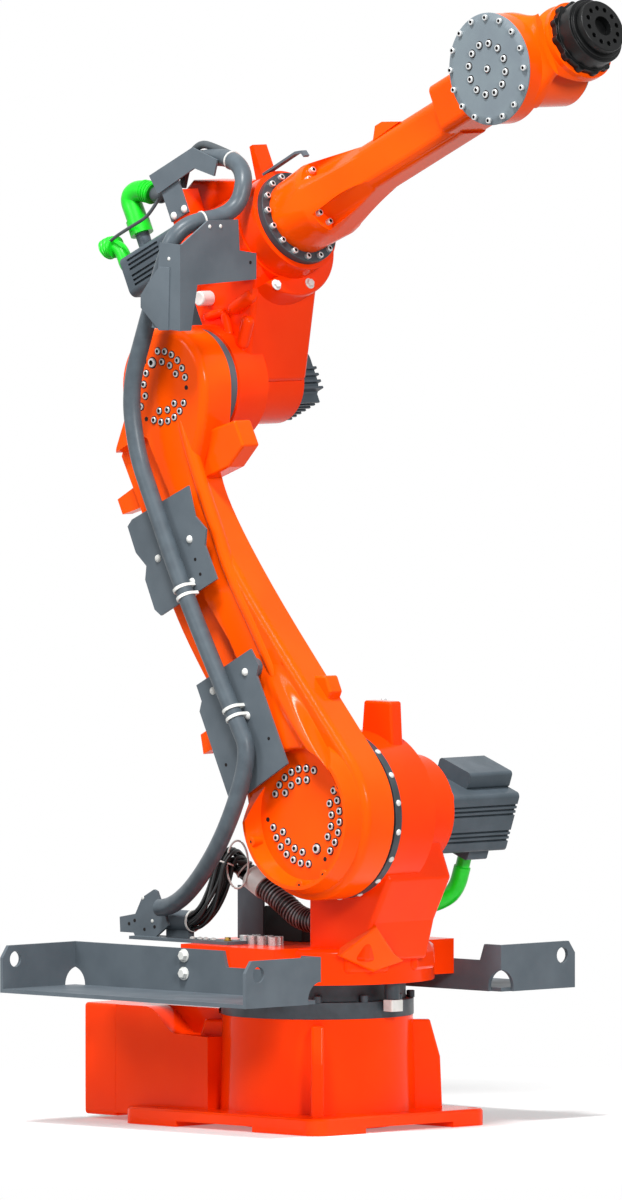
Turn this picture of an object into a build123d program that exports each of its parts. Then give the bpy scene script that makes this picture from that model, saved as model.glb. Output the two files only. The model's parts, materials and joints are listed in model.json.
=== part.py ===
from build123d import *
import os
from math import cos, radians, sin

# Six-axis industrial robot arm, in millimetres.
# The origin is on the floor under axis 1, +X is forward, +Y is left and +Z is up.

# Joint centres, as they stand at rest
AXIS_2_X = 250.0
AXIS_2_Z = 799.0
LOWER_ARM_LENGTH = 1176.0
LOWER_ARM_LEAN = 25.9
FOREARM_PITCH = 25.3
ELBOW_RISE = 297.0
ELBOW_REACH = 362.0
FOREARM_LENGTH = 925.0
TOOL_LENGTH = 254.0

# Base
FOOT_FRONT = 307.0
FOOT_REAR = -395.0
FOOT_HALF = 307.0
FOOT_T = 42.0
FOOT_RELIEF = 14.0
FOOT_PAD_R = 190.0
BOLT_SQUARE = 275.0
FOOT_HOLE_R = 13.0
PEDESTAL_R = 240.0
PEDESTAL_H = 280.0
RIB_T = 33.0
CAST_ROUND = 14.0
BOX_HALF = 240.0
BOX_TOP = 292.0
BOX_UNDER = 10.0
BOX_SEAM = -479.0
BOX_REAR = -589.0
SADDLE_Z = 228.0
SLEW_R = 242.0
SLEW_H = 42.0
RUN_GAP = 0.5

# Carousel
DECK_R = 294.0
DECK_Z = 369.0
DECK_T = 91.0
PAD_HALF = 165.0
PAD_REACH = 26.0
TURN_R = 222.0
HOUSING_R = 208.0
HOUSING_FACE = -162.0
HOUSING_BACK = -40.0
COLUMN_BACK = 75.0
COLUMN_FACE = -150.0
COLUMN_REAR = 116.0
RING_T = 22.0
STOP_PIN_X = 264.0
MOTOR_2_TILT = 19.8
MOTOR_2_SIZE = 157.0
MOTOR_2_START = 115.0
MOTOR_2_END = 370.0
FIN_CUT = 6.0

# Fork brackets
TRAY_REAR = -542.0
TRAY_FRONT = 332.0
TRAY_OUT = 585.0
TRAY_Z = 334.0
TRAY_TOP = 452.0
TRAY_LOW = 411.0
SHEET = 10.0
THIN_SHEET = 6.0
LIFT_HOLE_R = 20.0
LIFT_HOLE_IN = 45.0
LIFT_HOLE_DOWN = 35.0
BEND_CUT_R = 45.0

# Lower arm
ARM_INNER = -192.0
ARM_FACE = -290.0
ARM_RIM = -334.0
ARM_WEB = -262.0
ARM_LOW_R = 212.0
ARM_TOP_R = 150.0
ARM_ROUND = 22.0
DISH_R = 160.0
RIM_R = 183.0
RIM_T = 9.0

# Elbow, forearm and wrist
ELBOW_HALF = 111.0
DRUM_R = 150.0
MOTOR_3_SIZE = 146.0
MOTOR_3_END = 185.0
NECK_R = 135.0
NECK_END = -20.0
RING_R = 122.0
ROOT_R = 98.0
ROOT_END = 110.0
TAPER_END = 310.0
TUBE_HALF = 58.0
POCKET_T = 128.0
HEAD_R = 100.0
HEAD_RIGHT = -111.5
HEAD_LEFT = 85.0
NECK_BLOCK = 285.0
NECK_W = 156.0
NECK_H = 132.0
BARREL_R = 138.0
BARREL_FACE = -166.0
COVER_R = 140.0
COVER_T = 10.0
HAND_R = 103.0
HAND_LENGTH = 165.0
FLANGE_R = 67.0
FLANGE_PCD = 96.0
FLANGE_HOLE_R = 6.5
FLANGE_BORE_R = 26.0
MOTOR_FACE = -330.0

# Hose, cables and their sleeves
HOSE_R = 22.0
HOSE_Y = -350.0
CABLE_R = 26.0
CONDUIT_R = 30.0

os.makedirs("parts", exist_ok=True)

lean = radians(LOWER_ARM_LEAN)
pitch = radians(FOREARM_PITCH)
AXIS_3_X = AXIS_2_X - LOWER_ARM_LENGTH * sin(lean)
AXIS_3_Z = AXIS_2_Z + LOWER_ARM_LENGTH * cos(lean)
RING_X = AXIS_3_X + ELBOW_REACH * cos(pitch) - ELBOW_RISE * sin(pitch)
RING_Z = AXIS_3_Z + ELBOW_REACH * sin(pitch) + ELBOW_RISE * cos(pitch)
DECK_TOP = DECK_Z + DECK_T
PAD_TOP = DECK_TOP + 2
WEB_Y = DECK_R + PAD_REACH
PLATE_BACK = HOSE_Y + HOSE_R + 1.5 + THIN_SHEET


def side(y):
    """Sketch plane at one Y, with X to the right and Z up; it extrudes towards -Y."""
    return Plane.XZ.offset(-y)


def limb(share, front):
    """X and Z of a point at a share of the lower arm's length, in front of its centre line."""
    up = share * LOWER_ARM_LENGTH
    return (
        AXIS_2_X - up * sin(lean) + front * cos(lean),
        AXIS_2_Z + up * cos(lean) + front * sin(lean),
    )


def elbow(x, z):
    """X and Z of a point given from axis 3."""
    return (AXIS_3_X + x, AXIS_3_Z + z)


def fore(t, rise):
    """X and Z of a point t past the axis 4 ring along the forearm and rise above its axis."""
    return (
        RING_X + t * cos(pitch) - rise * sin(pitch),
        RING_Z + t * sin(pitch) + rise * cos(pitch),
    )


def at(y, place):
    """Point in space from one Y and a pair of X and Z."""
    return Vector(place[0], y, place[1])


def along(t, y=0.0, rise=0.0):
    """Sketch plane across the forearm, t past the axis 4 ring, extruding forward."""
    return Plane(
        origin=at(y, fore(t, rise)),
        x_dir=(0, 1, 0),
        z_dir=(cos(pitch), 0, sin(pitch)),
    )


def across(y, t=0.0):
    """Sketch plane at one Y turned with the forearm: x runs along it and y across it."""
    return Plane(
        origin=at(y, fore(t, 0)),
        x_dir=(cos(pitch), 0, sin(pitch)),
        z_dir=(0, -1, 0),
    )


def motor_2(y):
    """Sketch plane at one Y turned with the axis 2 motor, extruding towards -Y."""
    tilt = radians(MOTOR_2_TILT)
    return Plane(
        origin=(AXIS_2_X, y, AXIS_2_Z - 14),
        x_dir=(cos(tilt), 0, -sin(tilt)),
        z_dir=(0, -1, 0),
    )


def upright(degrees, y=0.0):
    """Upright sketch plane through axis 1: x runs out from it and y is Z."""
    turn = radians(degrees)
    return Plane(
        origin=(y * sin(turn), -y * cos(turn), 0),
        x_dir=(cos(turn), sin(turn), 0),
        z_dir=(sin(turn), -cos(turn), 0),
    )


def tube(points, radii, r):
    """Sweep a round tube along straight runs joined by tangent arcs."""
    with BuildPart() as run:
        with BuildLine() as path:
            FilletPolyline(*points, radius=radii)
        with BuildSketch(Plane(origin=path.line @ 0, z_dir=path.line % 0)):
            Circle(r)
        sweep()
    return run.part


def rounded_block(plane, points, amount, r):
    """Extrude a polygon from a sketch plane and round all its edges, as a casting has them."""
    with BuildPart() as block:
        with BuildSketch(plane):
            Polygon(*points, align=None)
        extrude(amount=amount)
        fillet(block.edges(), r)
    return block.part


# Base casting: relieved foot, pedestal with four ribs, and the box with its saddle
with BuildPart() as base_casting:
    with BuildSketch(Plane.XY):
        with Locations(((FOOT_FRONT + FOOT_REAR) / 2, 0)):
            RectangleRounded(FOOT_FRONT - FOOT_REAR, 2 * FOOT_HALF, 45)
    extrude(amount=FOOT_T)
    chamfer(base_casting.faces().sort_by(Axis.Z)[-1].edges(), 5)
    with BuildSketch(Plane.XY):
        with Locations(((FOOT_FRONT + FOOT_REAR) / 2, 20)):
            Rectangle(FOOT_FRONT - FOOT_REAR + 10, 310)
        with Locations((-60, 0)):
            Rectangle(270, 2 * FOOT_HALF + 10)
    extrude(amount=FOOT_RELIEF, mode=Mode.SUBTRACT)
    with BuildSketch(Plane.XY):
        Circle(FOOT_PAD_R)
    extrude(amount=FOOT_T)
    with BuildSketch(Plane.XY.offset(FOOT_RELIEF)):
        Circle(PEDESTAL_R + 8)
    with BuildSketch(Plane.XY.offset(PEDESTAL_H)):
        Circle(PEDESTAL_R)
    loft()
    with BuildSketch(side(BOX_HALF)):
        with BuildLine():
            Polyline(
                (-150, SADDLE_Z - 4),
                (-150, BOX_UNDER + 8),
                (BOX_SEAM, BOX_UNDER + 8),
                (BOX_SEAM, BOX_TOP),
                (-378, BOX_TOP),
            )
            Spline((-378, BOX_TOP), (-268, SADDLE_Z), tangents=[(1, 0), (1, -0.25)])
            Line((-268, SADDLE_Z), (-150, SADDLE_Z - 4))
        make_face()
    extrude(amount=2 * BOX_HALF)
    with BuildSketch(side(BOX_HALF - 75)):
        with Locations((-285, (BOX_TOP + FOOT_T) / 2)):
            Rectangle(300, BOX_TOP - FOOT_T)
    extrude(amount=2 * BOX_HALF - 150)
    for corner in (45, 135, 225, 315):
        rib = [
            (PEDESTAL_R - 40, FOOT_T - 20),
            (PEDESTAL_R + 74, FOOT_T - 20),
            (PEDESTAL_R + 68, FOOT_T + 130),
            (PEDESTAL_R + 42, PEDESTAL_H - 14),
            (PEDESTAL_R - 40, PEDESTAL_H - 14),
        ]
        add(rounded_block(upright(corner, -RIB_T / 2), rib, RIB_T, CAST_ROUND / 2))
    with BuildSketch(Plane.XY):
        with PolarLocations(BOLT_SQUARE * 2**0.5, 4, start_angle=45):
            Circle(FOOT_HOLE_R)
    extrude(amount=FOOT_T + 2, mode=Mode.SUBTRACT)
    with BuildSketch(Plane.XY.offset(PEDESTAL_H)):
        Circle(SLEW_R + 6)
    extrude(amount=60, mode=Mode.SUBTRACT)
base_casting.part.label = "base_casting"
export_step(base_casting.part, "parts/base_casting.step")

# Rear connector box and its panel
with BuildPart() as rear_box:
    with BuildSketch(side(BOX_HALF)):
        with Locations(((BOX_REAR + BOX_SEAM) / 2, (BOX_TOP + BOX_UNDER) / 2)):
            Rectangle(BOX_SEAM - BOX_REAR, BOX_TOP - BOX_UNDER)
    extrude(amount=2 * BOX_HALF)
    fillet(rear_box.edges().filter_by(Axis.X), 10)
rear_box.part.label = "rear_box"
export_step(rear_box.part, "parts/rear_box.step")

with BuildPart() as connector_panel:
    with BuildSketch(Plane.YZ.offset(BOX_REAR)):
        with Locations((0, (BOX_TOP + BOX_UNDER) / 2)):
            RectangleRounded(2 * BOX_HALF - 20, BOX_TOP - BOX_UNDER - 20, 8)
    extrude(amount=-8)
connector_panel.part.label = "connector_panel"
export_step(connector_panel.part, "parts/connector_panel.step")

# Slew ring on the base and the turning ring under the deck
with BuildPart() as slew_ring:
    with BuildSketch(Plane.XY.offset(PEDESTAL_H)):
        Circle(SLEW_R)
        Circle(60, mode=Mode.SUBTRACT)
    extrude(amount=SLEW_H)
slew_ring.part.label = "slew_ring"
export_step(slew_ring.part, "parts/slew_ring.step")

with BuildPart() as turntable_ring:
    with BuildSketch(Plane.XY.offset(PEDESTAL_H + SLEW_H + RUN_GAP)):
        Circle(TURN_R)
        Circle(60, mode=Mode.SUBTRACT)
    extrude(amount=DECK_Z - PEDESTAL_H - SLEW_H - RUN_GAP)
turntable_ring.part.label = "turntable_ring"
export_step(turntable_ring.part, "parts/turntable_ring.step")

# Carousel casting: deck with side pads, leaning column, axis 2 housing and gussets
with BuildPart() as carousel_casting:
    with BuildSketch(Plane.XY.offset(DECK_Z)):
        Circle(DECK_R)
    extrude(amount=DECK_T)
    fillet(carousel_casting.edges().filter_by(GeomType.CIRCLE).sort_by(Axis.Z)[-1], 14)
    with BuildSketch(Plane.XY.offset(DECK_Z + 5)):
        Rectangle(2 * PAD_HALF, 2 * WEB_Y)
    extrude(amount=PAD_TOP - DECK_Z - 5)
    column = [
        (COLUMN_REAR, DECK_TOP - 30),
        (AXIS_2_X + 66, DECK_TOP - 30),
        (AXIS_2_X + 94, AXIS_2_Z - 271),
        (AXIS_2_X + 153, AXIS_2_Z - 161),
        (AXIS_2_X + 90, AXIS_2_Z - 13),
        (AXIS_2_X, AXIS_2_Z),
        (COLUMN_REAR, AXIS_2_Z - 99),
    ]
    add(rounded_block(side(COLUMN_BACK), column, COLUMN_BACK - COLUMN_FACE, CAST_ROUND))
    with BuildSketch(side(HOUSING_BACK)):
        with Locations((AXIS_2_X, AXIS_2_Z)):
            Circle(HOUSING_R)
    extrude(amount=HOUSING_BACK - HOUSING_FACE)
    with BuildSketch(side(MOTOR_2_START - 20)):
        with Locations((AXIS_2_X, AXIS_2_Z)):
            Circle(140)
    extrude(amount=140)
    with BuildSketch(motor_2(MOTOR_2_START)):
        RectangleRounded(196, 196, 24)
    extrude(amount=24)
    for corner in (-20, 20):
        gusset = [
            (DECK_R - 120, DECK_TOP - 62),
            (DECK_R + 8, DECK_TOP - 62),
            (DECK_R + 4, DECK_TOP - 16),
            (DECK_R - 40, DECK_TOP + 60),
            (DECK_R - 120, DECK_TOP + 60),
        ]
        add(rounded_block(upright(corner, -62), gusset, 124, CAST_ROUND))
    lug = [
        (AXIS_2_X - 2, AXIS_2_Z + 140),
        (AXIS_2_X + 116, AXIS_2_Z + 140),
        (AXIS_2_X + 108, AXIS_2_Z + 283),
        (AXIS_2_X + 12, AXIS_2_Z + 283),
    ]
    add(rounded_block(side(-60), lug, 40, CAST_ROUND / 2))
carousel_casting.part.label = "carousel_casting"
export_step(carousel_casting.part, "parts/carousel_casting.step")

# Axis 1 stop pin and bumper
with BuildPart() as axis_1_stop_pin:
    with BuildSketch(Plane.XY.offset(DECK_Z)):
        with Locations((STOP_PIN_X, 0)):
            Circle(19)
    extrude(amount=-42)
axis_1_stop_pin.part.label = "axis_1_stop_pin"
export_step(axis_1_stop_pin.part, "parts/axis_1_stop_pin.step")

with BuildPart() as axis_1_bumper:
    with BuildSketch(Plane.XY.offset(DECK_Z - 42)):
        with Locations((STOP_PIN_X + 4, 0)):
            RectangleRounded(34, 42, 6)
    extrude(amount=-29)
axis_1_bumper.part.label = "axis_1_bumper"
export_step(axis_1_bumper.part, "parts/axis_1_bumper.step")

# Fork brackets: the right one, and the left as its mirror
with BuildPart() as fork_bracket_right:
    with BuildSketch(side(-WEB_Y)):
        Polygon(
            (TRAY_REAR, TRAY_Z),
            (TRAY_FRONT, TRAY_Z),
            (TRAY_FRONT, TRAY_TOP),
            (TRAY_FRONT - 60, TRAY_TOP),
            (TRAY_FRONT - 75, TRAY_LOW),
            (6, TRAY_LOW),
            (-6, TRAY_TOP),
            (TRAY_REAR, TRAY_TOP),
            align=None,
        )
    extrude(amount=SHEET)
    with BuildSketch(Plane.XY.offset(TRAY_Z)):
        with Locations(((TRAY_REAR + TRAY_FRONT) / 2, -(WEB_Y + TRAY_OUT) / 2)):
            Rectangle(TRAY_FRONT - TRAY_REAR, TRAY_OUT - WEB_Y)
    extrude(amount=SHEET)
    for end in (TRAY_REAR, TRAY_FRONT - SHEET):
        with BuildSketch(Plane.YZ.offset(end)):
            Polygon(
                (-WEB_Y, TRAY_Z),
                (-WEB_Y, TRAY_TOP),
                (-TRAY_OUT + 22, TRAY_TOP),
                (-TRAY_OUT, TRAY_TOP - 30),
                (-TRAY_OUT, TRAY_Z),
                align=None,
            )
            with Locations((-TRAY_OUT + LIFT_HOLE_IN, TRAY_TOP - LIFT_HOLE_DOWN)):
                Circle(LIFT_HOLE_R, mode=Mode.SUBTRACT)
        extrude(amount=SHEET)
    for end in (TRAY_REAR, TRAY_FRONT):
        with BuildSketch(side(-WEB_Y)):
            with Locations((end, TRAY_Z + SHEET)):
                Circle(BEND_CUT_R)
        with BuildSketch(Plane.YZ.offset(end)):
            with Locations((-WEB_Y, TRAY_Z + SHEET)):
                Circle(BEND_CUT_R)
        extrude(amount=SHEET, both=True, mode=Mode.SUBTRACT)
fork_bracket_right.part.label = "fork_bracket_right"
export_step(fork_bracket_right.part, "parts/fork_bracket_right.step")

with BuildPart() as fork_bracket_left:
    mirror(fork_bracket_right.part, about=Plane.XZ)
fork_bracket_left.part.label = "fork_bracket_left"
export_step(fork_bracket_left.part, "parts/fork_bracket_left.step")

# Axis 2 gearbox ring, motor and plug
with BuildPart() as axis_2_gearbox_ring:
    with BuildSketch(side(HOUSING_FACE)):
        with Locations((AXIS_2_X, AXIS_2_Z)):
            Circle(HOUSING_R + 3)
    extrude(amount=RING_T)
axis_2_gearbox_ring.part.label = "axis_2_gearbox_ring"
export_step(axis_2_gearbox_ring.part, "parts/axis_2_gearbox_ring.step")

MOTOR_2_HALF = MOTOR_2_SIZE / 2
PLUG_2_Y = MOTOR_2_END - 75

with BuildPart() as axis_2_motor:
    with BuildSketch(motor_2(MOTOR_2_END)):
        RectangleRounded(MOTOR_2_SIZE, MOTOR_2_SIZE, 12)
    extrude(amount=MOTOR_2_END - MOTOR_2_START)
    for rise in (-47, -35, -23, 23, 35, 47):
        with BuildSketch(motor_2(MOTOR_2_END + 1)):
            with Locations((MOTOR_2_HALF, rise), (-MOTOR_2_HALF, rise)):
                Rectangle(2 * FIN_CUT, FIN_CUT)
        extrude(amount=MOTOR_2_END - MOTOR_2_START - 30, mode=Mode.SUBTRACT)
    with BuildSketch(motor_2(MOTOR_2_END)):
        with Locations((-22, MOTOR_2_HALF + 20)):
            RectangleRounded(116, 44, 10)
    extrude(amount=150)
    with BuildSketch(motor_2(MOTOR_2_END - 40)):
        with Locations((20, -MOTOR_2_HALF - 14)):
            RectangleRounded(80, 30, 8)
    extrude(amount=70)
axis_2_motor.part.label = "axis_2_motor"
export_step(axis_2_motor.part, "parts/axis_2_motor.step")

PLUG_2_DOWN = -MOTOR_2_HALF - 29


def motor_2_point(x, rise, y):
    """Point in space from the axis 2 motor's own x and rise."""
    return motor_2(y).from_local_coords((x, rise, 0))


axis_2_plug = tube(
    [
        motor_2_point(20, PLUG_2_DOWN, PLUG_2_Y),
        motor_2_point(20, PLUG_2_DOWN - 62, PLUG_2_Y),
        motor_2_point(-2, PLUG_2_DOWN - 96, PLUG_2_Y - 52),
    ],
    [48],
    16,
)
axis_2_plug.label = "axis_2_plug"
export_step(axis_2_plug, "parts/axis_2_plug.step")

# Plane through axis 2 and along the lower arm: x runs up the arm and y towards -Y
ARM_PLANE = Plane(
    origin=(AXIS_2_X, 0, AXIS_2_Z),
    x_dir=(-sin(lean), 0, cos(lean)),
    z_dir=(cos(lean), 0, sin(lean)),
)

# Lower arm casting: one curved beam with a pocket for the hose, a dished lower end,
# a bolted boss at axis 3, a stop hook on its front edge and small lugs on its edges
with BuildPart() as lower_arm_casting:
    with BuildSketch(side(ARM_INNER)):
        with BuildLine():
            Polyline(
                (AXIS_3_X - ARM_TOP_R, AXIS_3_Z),
                limb(0.962, -183),
                limb(0.924, -233),
                limb(0.80, -228),
            )
            Spline(
                limb(0.80, -228),
                limb(0.569, -231),
                limb(0.365, -194),
                (AXIS_2_X - ARM_LOW_R, AXIS_2_Z),
                tangents=[(sin(lean), -cos(lean)), (0.2, -1)],
            )
            RadiusArc(
                (AXIS_2_X - ARM_LOW_R, AXIS_2_Z),
                (AXIS_2_X + ARM_LOW_R, AXIS_2_Z),
                -ARM_LOW_R,
            )
            Spline(
                (AXIS_2_X + ARM_LOW_R, AXIS_2_Z),
                limb(0.09, 192),
                limb(0.22, 147),
                limb(0.344, 105),
                limb(0.5745, 35),
                limb(0.80, 12),
                (AXIS_3_X + ARM_TOP_R, AXIS_3_Z),
                tangents=[(0, 1), (0, 1)],
            )
            RadiusArc(
                (AXIS_3_X + ARM_TOP_R, AXIS_3_Z),
                (AXIS_3_X - ARM_TOP_R, AXIS_3_Z),
                -ARM_TOP_R,
            )
        make_face()
    extrude(amount=ARM_INNER - ARM_FACE)
    outline = lower_arm_casting.faces().sort_by(Axis.Y)[0].outer_wire().edges()
    fillet(outline.filter_by(GeomType.LINE, reverse=True).sort_by(Axis.X)[-3:], ARM_ROUND)
    with BuildSketch(Plane.XY.offset(AXIS_2_Z)):
        with Locations((AXIS_2_X, 0)):
            Polygon(
                (DISH_R - 40, ARM_FACE + 20),
                (DISH_R - 40, ARM_FACE),
                (DISH_R, ARM_FACE),
                (RIM_R - RIM_T, ARM_RIM),
                (RIM_R, ARM_RIM),
                (ARM_LOW_R - 4, ARM_FACE + 46),
                align=None,
            )
    revolve(axis=Axis((AXIS_2_X, 0, AXIS_2_Z), (0, 1, 0)))
    with BuildSketch(ARM_PLANE):
        Polygon((60, -ARM_RIM), (125, -ARM_FACE), (260, -ARM_FACE), (260, -ARM_RIM), align=None)
    extrude(amount=2 * ARM_LOW_R, both=True, mode=Mode.SUBTRACT)
    with BuildSketch(side(ARM_FACE)):
        Polygon(
            limb(0.93, -270),
            limb(0.93, -105),
            limb(0.78, -92),
            limb(0.536, -90),
            limb(0.43, -58),
            limb(0.284, -40),
            limb(0.205, -10),
            limb(0.175, -60),
            limb(0.175, -270),
            align=None,
        )
        with Locations((AXIS_3_X, AXIS_3_Z)):
            Circle(ARM_TOP_R - 8, mode=Mode.SUBTRACT)
    extrude(amount=ARM_WEB - ARM_FACE, dir=(0, 1, 0), mode=Mode.SUBTRACT)
    hook = [limb(0.883, -20), limb(0.858, 164), limb(0.798, 165), limb(0.775, 93), limb(0.783, -20)]
    add(rounded_block(side(ARM_INNER), hook, 60, CAST_ROUND / 2))
    with BuildSketch(side(ARM_INNER)):
        Polygon(
            limb(0.861, 48),
            limb(0.841, 140),
            limb(0.808, 140),
            limb(0.798, 88),
            limb(0.808, 48),
            align=None,
        )
    extrude(amount=34, mode=Mode.SUBTRACT)
    stop = [limb(0.283, 78), limb(0.280, 116), limb(0.262, 166), limb(0.225, 165), limb(0.193, 118)]
    add(rounded_block(side(ARM_INNER), stop, 45, CAST_ROUND / 2))
    with BuildSketch(side(ARM_INNER - 24)):
        Polygon(limb(0.855, -200), limb(0.85, -305), limb(0.815, -305), limb(0.80, -200), align=None)
        Polygon(limb(0.30, -150), limb(0.296, -292), limb(0.255, -304), limb(0.25, -150), align=None)
    extrude(amount=34)
lower_arm_casting.part.label = "lower_arm_casting"
export_step(lower_arm_casting.part, "parts/lower_arm_casting.step")

# Gearbox outputs that carry the lower arm and hold it to the elbow
OUTPUT_FACE = HOUSING_FACE - RING_T - RUN_GAP

with BuildPart() as axis_2_output:
    with BuildSketch(side(OUTPUT_FACE)):
        with Locations((AXIS_2_X, AXIS_2_Z)):
            Circle(ARM_LOW_R - 30)
    extrude(amount=OUTPUT_FACE - ARM_INNER)
axis_2_output.part.label = "axis_2_output"
export_step(axis_2_output.part, "parts/axis_2_output.step")

with BuildPart() as axis_3_output:
    with BuildSketch(side(OUTPUT_FACE)):
        with Locations((AXIS_3_X, AXIS_3_Z)):
            Circle(ARM_TOP_R - 22)
    extrude(amount=OUTPUT_FACE - ARM_INNER)
axis_3_output.part.label = "axis_3_output"
export_step(axis_3_output.part, "parts/axis_3_output.step")

# Elbow: gearbox ring and casting
with BuildPart() as axis_3_gearbox_ring:
    with BuildSketch(side(HOUSING_FACE)):
        with Locations((AXIS_3_X, AXIS_3_Z)):
            Circle(DRUM_R - 8)
    extrude(amount=RING_T)
axis_3_gearbox_ring.part.label = "axis_3_gearbox_ring"
export_step(axis_3_gearbox_ring.part, "parts/axis_3_gearbox_ring.step")

# The casting is a drum about axis 3, a slab up to the neck, the neck itself with its
# collar, ribs on the right side, and pedestals for the cover, the stay and the post
with BuildPart() as elbow_casting:
    with BuildSketch(side(-60)):
        with Locations((AXIS_3_X, AXIS_3_Z)):
            Circle(DRUM_R)
    extrude(amount=-60 - HOUSING_FACE)
    with BuildSketch(side(ELBOW_HALF)):
        with Locations((AXIS_3_X, AXIS_3_Z)):
            Circle(106)
    extrude(amount=ELBOW_HALF + 70)
    slab = [
        elbow(116, 6),
        elbow(169, 323),
        elbow(74, 383),
        elbow(-116, 333),
        elbow(-136, 153),
        elbow(-106, 6),
    ]
    add(rounded_block(side(ELBOW_HALF), slab, 2 * ELBOW_HALF, CAST_ROUND))
    with BuildSketch(side(-ELBOW_HALF + 5)):
        Polygon(elbow(158, 224), elbow(160, 246), elbow(74, 198), elbow(84, 180), align=None)
        Polygon(elbow(138, 170), elbow(120, 176), elbow(100, 88), elbow(120, 84), align=None)
    extrude(amount=21)
    with BuildSketch(along(MOTOR_FACE)):
        Circle(NECK_R)
    extrude(amount=NECK_END - MOTOR_FACE)
    with BuildSketch(along(NECK_END - 100)):
        Circle(NECK_R + 5)
    extrude(amount=40)
    with BuildSketch(side(-100)):
        with Locations(elbow(131, 305)):
            Rectangle(64, 60)
    extrude(amount=50)
    with BuildSketch(across(-60)):
        with Locations((-279, 140)):
            Rectangle(66, 96)
    extrude(amount=54)
    with BuildSketch(across(25)):
        Polygon((-84, 110), (-53, 110), (-53, 222), (-65, 222), align=None)
    extrude(amount=50)
    with BuildSketch(along(MOTOR_FACE)):
        Rectangle(2 * ELBOW_HALF + 60, 2 * (NECK_R + 80))
    extrude(amount=-300, mode=Mode.SUBTRACT)
elbow_casting.part.label = "elbow_casting"
export_step(elbow_casting.part, "parts/elbow_casting.step")

with BuildPart() as breather:
    with BuildSketch(side(-ELBOW_HALF)):
        with Locations(elbow(-8, 216)):
            Circle(19)
    extrude(amount=40)
    chamfer(breather.edges().sort_by(Axis.Y)[0], 3)
breather.part.label = "breather"
export_step(breather.part, "parts/breather.step")

# Axis 3 motor with cooling fins along its underside
MOTOR_3_PLANE = Plane(
    origin=at(MOTOR_3_END, elbow(0, 0)),
    x_dir=(cos(pitch), 0, sin(pitch)),
    z_dir=(0, -1, 0),
)

with BuildPart() as axis_3_motor:
    with BuildSketch(MOTOR_3_PLANE):
        RectangleRounded(MOTOR_3_SIZE, MOTOR_3_SIZE, 46)
        with Locations(*[(-54 + 18 * step, -MOTOR_3_SIZE / 2) for step in range(7)]):
            Rectangle(FIN_CUT, 22)
        with Locations(*[(MOTOR_3_SIZE / 2, -54 + 18 * step) for step in range(4)]):
            Rectangle(22, FIN_CUT)
    extrude(amount=MOTOR_3_END - ELBOW_HALF)
axis_3_motor.part.label = "axis_3_motor"
export_step(axis_3_motor.part, "parts/axis_3_motor.step")

# The three motors behind the neck, the first with slots and a plug socket
with BuildPart() as axis_4_motor:
    with BuildSketch(along(-535, -56, 70)):
        RectangleRounded(108, 108, 18)
    extrude(amount=MOTOR_FACE + 535)
    for rise in (40, 52, 64, 82, 94, 106):
        with BuildSketch(across(-110 + FIN_CUT)):
            with Locations((-450, rise)):
                Rectangle(120, FIN_CUT)
        extrude(amount=FIN_CUT + 1, mode=Mode.SUBTRACT)
    with BuildSketch(Plane(origin=at(-60, fore(-477, 122)), z_dir=(-sin(pitch), 0, cos(pitch)))):
        Circle(18)
    extrude(amount=46)
axis_4_motor.part.label = "axis_4_motor"
export_step(axis_4_motor.part, "parts/axis_4_motor.step")

with BuildPart() as axis_5_motor:
    with BuildSketch(along(-520, 62, 20)):
        RectangleRounded(100, 100, 10)
    extrude(amount=MOTOR_FACE + 520)
axis_5_motor.part.label = "axis_5_motor"
export_step(axis_5_motor.part, "parts/axis_5_motor.step")

with BuildPart() as axis_6_motor:
    with BuildSketch(along(-520, 0, -88)):
        RectangleRounded(90, 90, 10)
    extrude(amount=MOTOR_FACE + 520)
axis_6_motor.part.label = "axis_6_motor"
export_step(axis_6_motor.part, "parts/axis_6_motor.step")

# Bright plugs: one rises from the socket and bends forward, one lies behind the motor
with BuildPart() as elbow_plugs:
    add(
        tube(
            [
                at(-60, fore(-477, 168)),
                at(-60, fore(-477, 254)),
                at(-60, fore(-398, 243)),
            ],
            [36],
            20,
        )
    )
    add(
        tube(
            [
                at(-60, fore(-535, 100)),
                at(-60, fore(-563, 100)),
                at(-60, fore(-557, 162)),
                at(-60, fore(-620, 183)),
            ],
            [17, 24],
            15,
        )
    )
elbow_plugs.part.label = "elbow_plugs"
export_step(elbow_plugs.part, "parts/elbow_plugs.step")

with BuildPart() as axis_4_ring:
    with BuildSketch(along(NECK_END)):
        Circle(RING_R)
    extrude(amount=-NECK_END)
axis_4_ring.part.label = "axis_4_ring"
export_step(axis_4_ring.part, "parts/axis_4_ring.step")

# Forearm: round root that narrows to a square tube, a neck block and a round head
NECK_T = FOREARM_LENGTH - NECK_BLOCK

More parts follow.
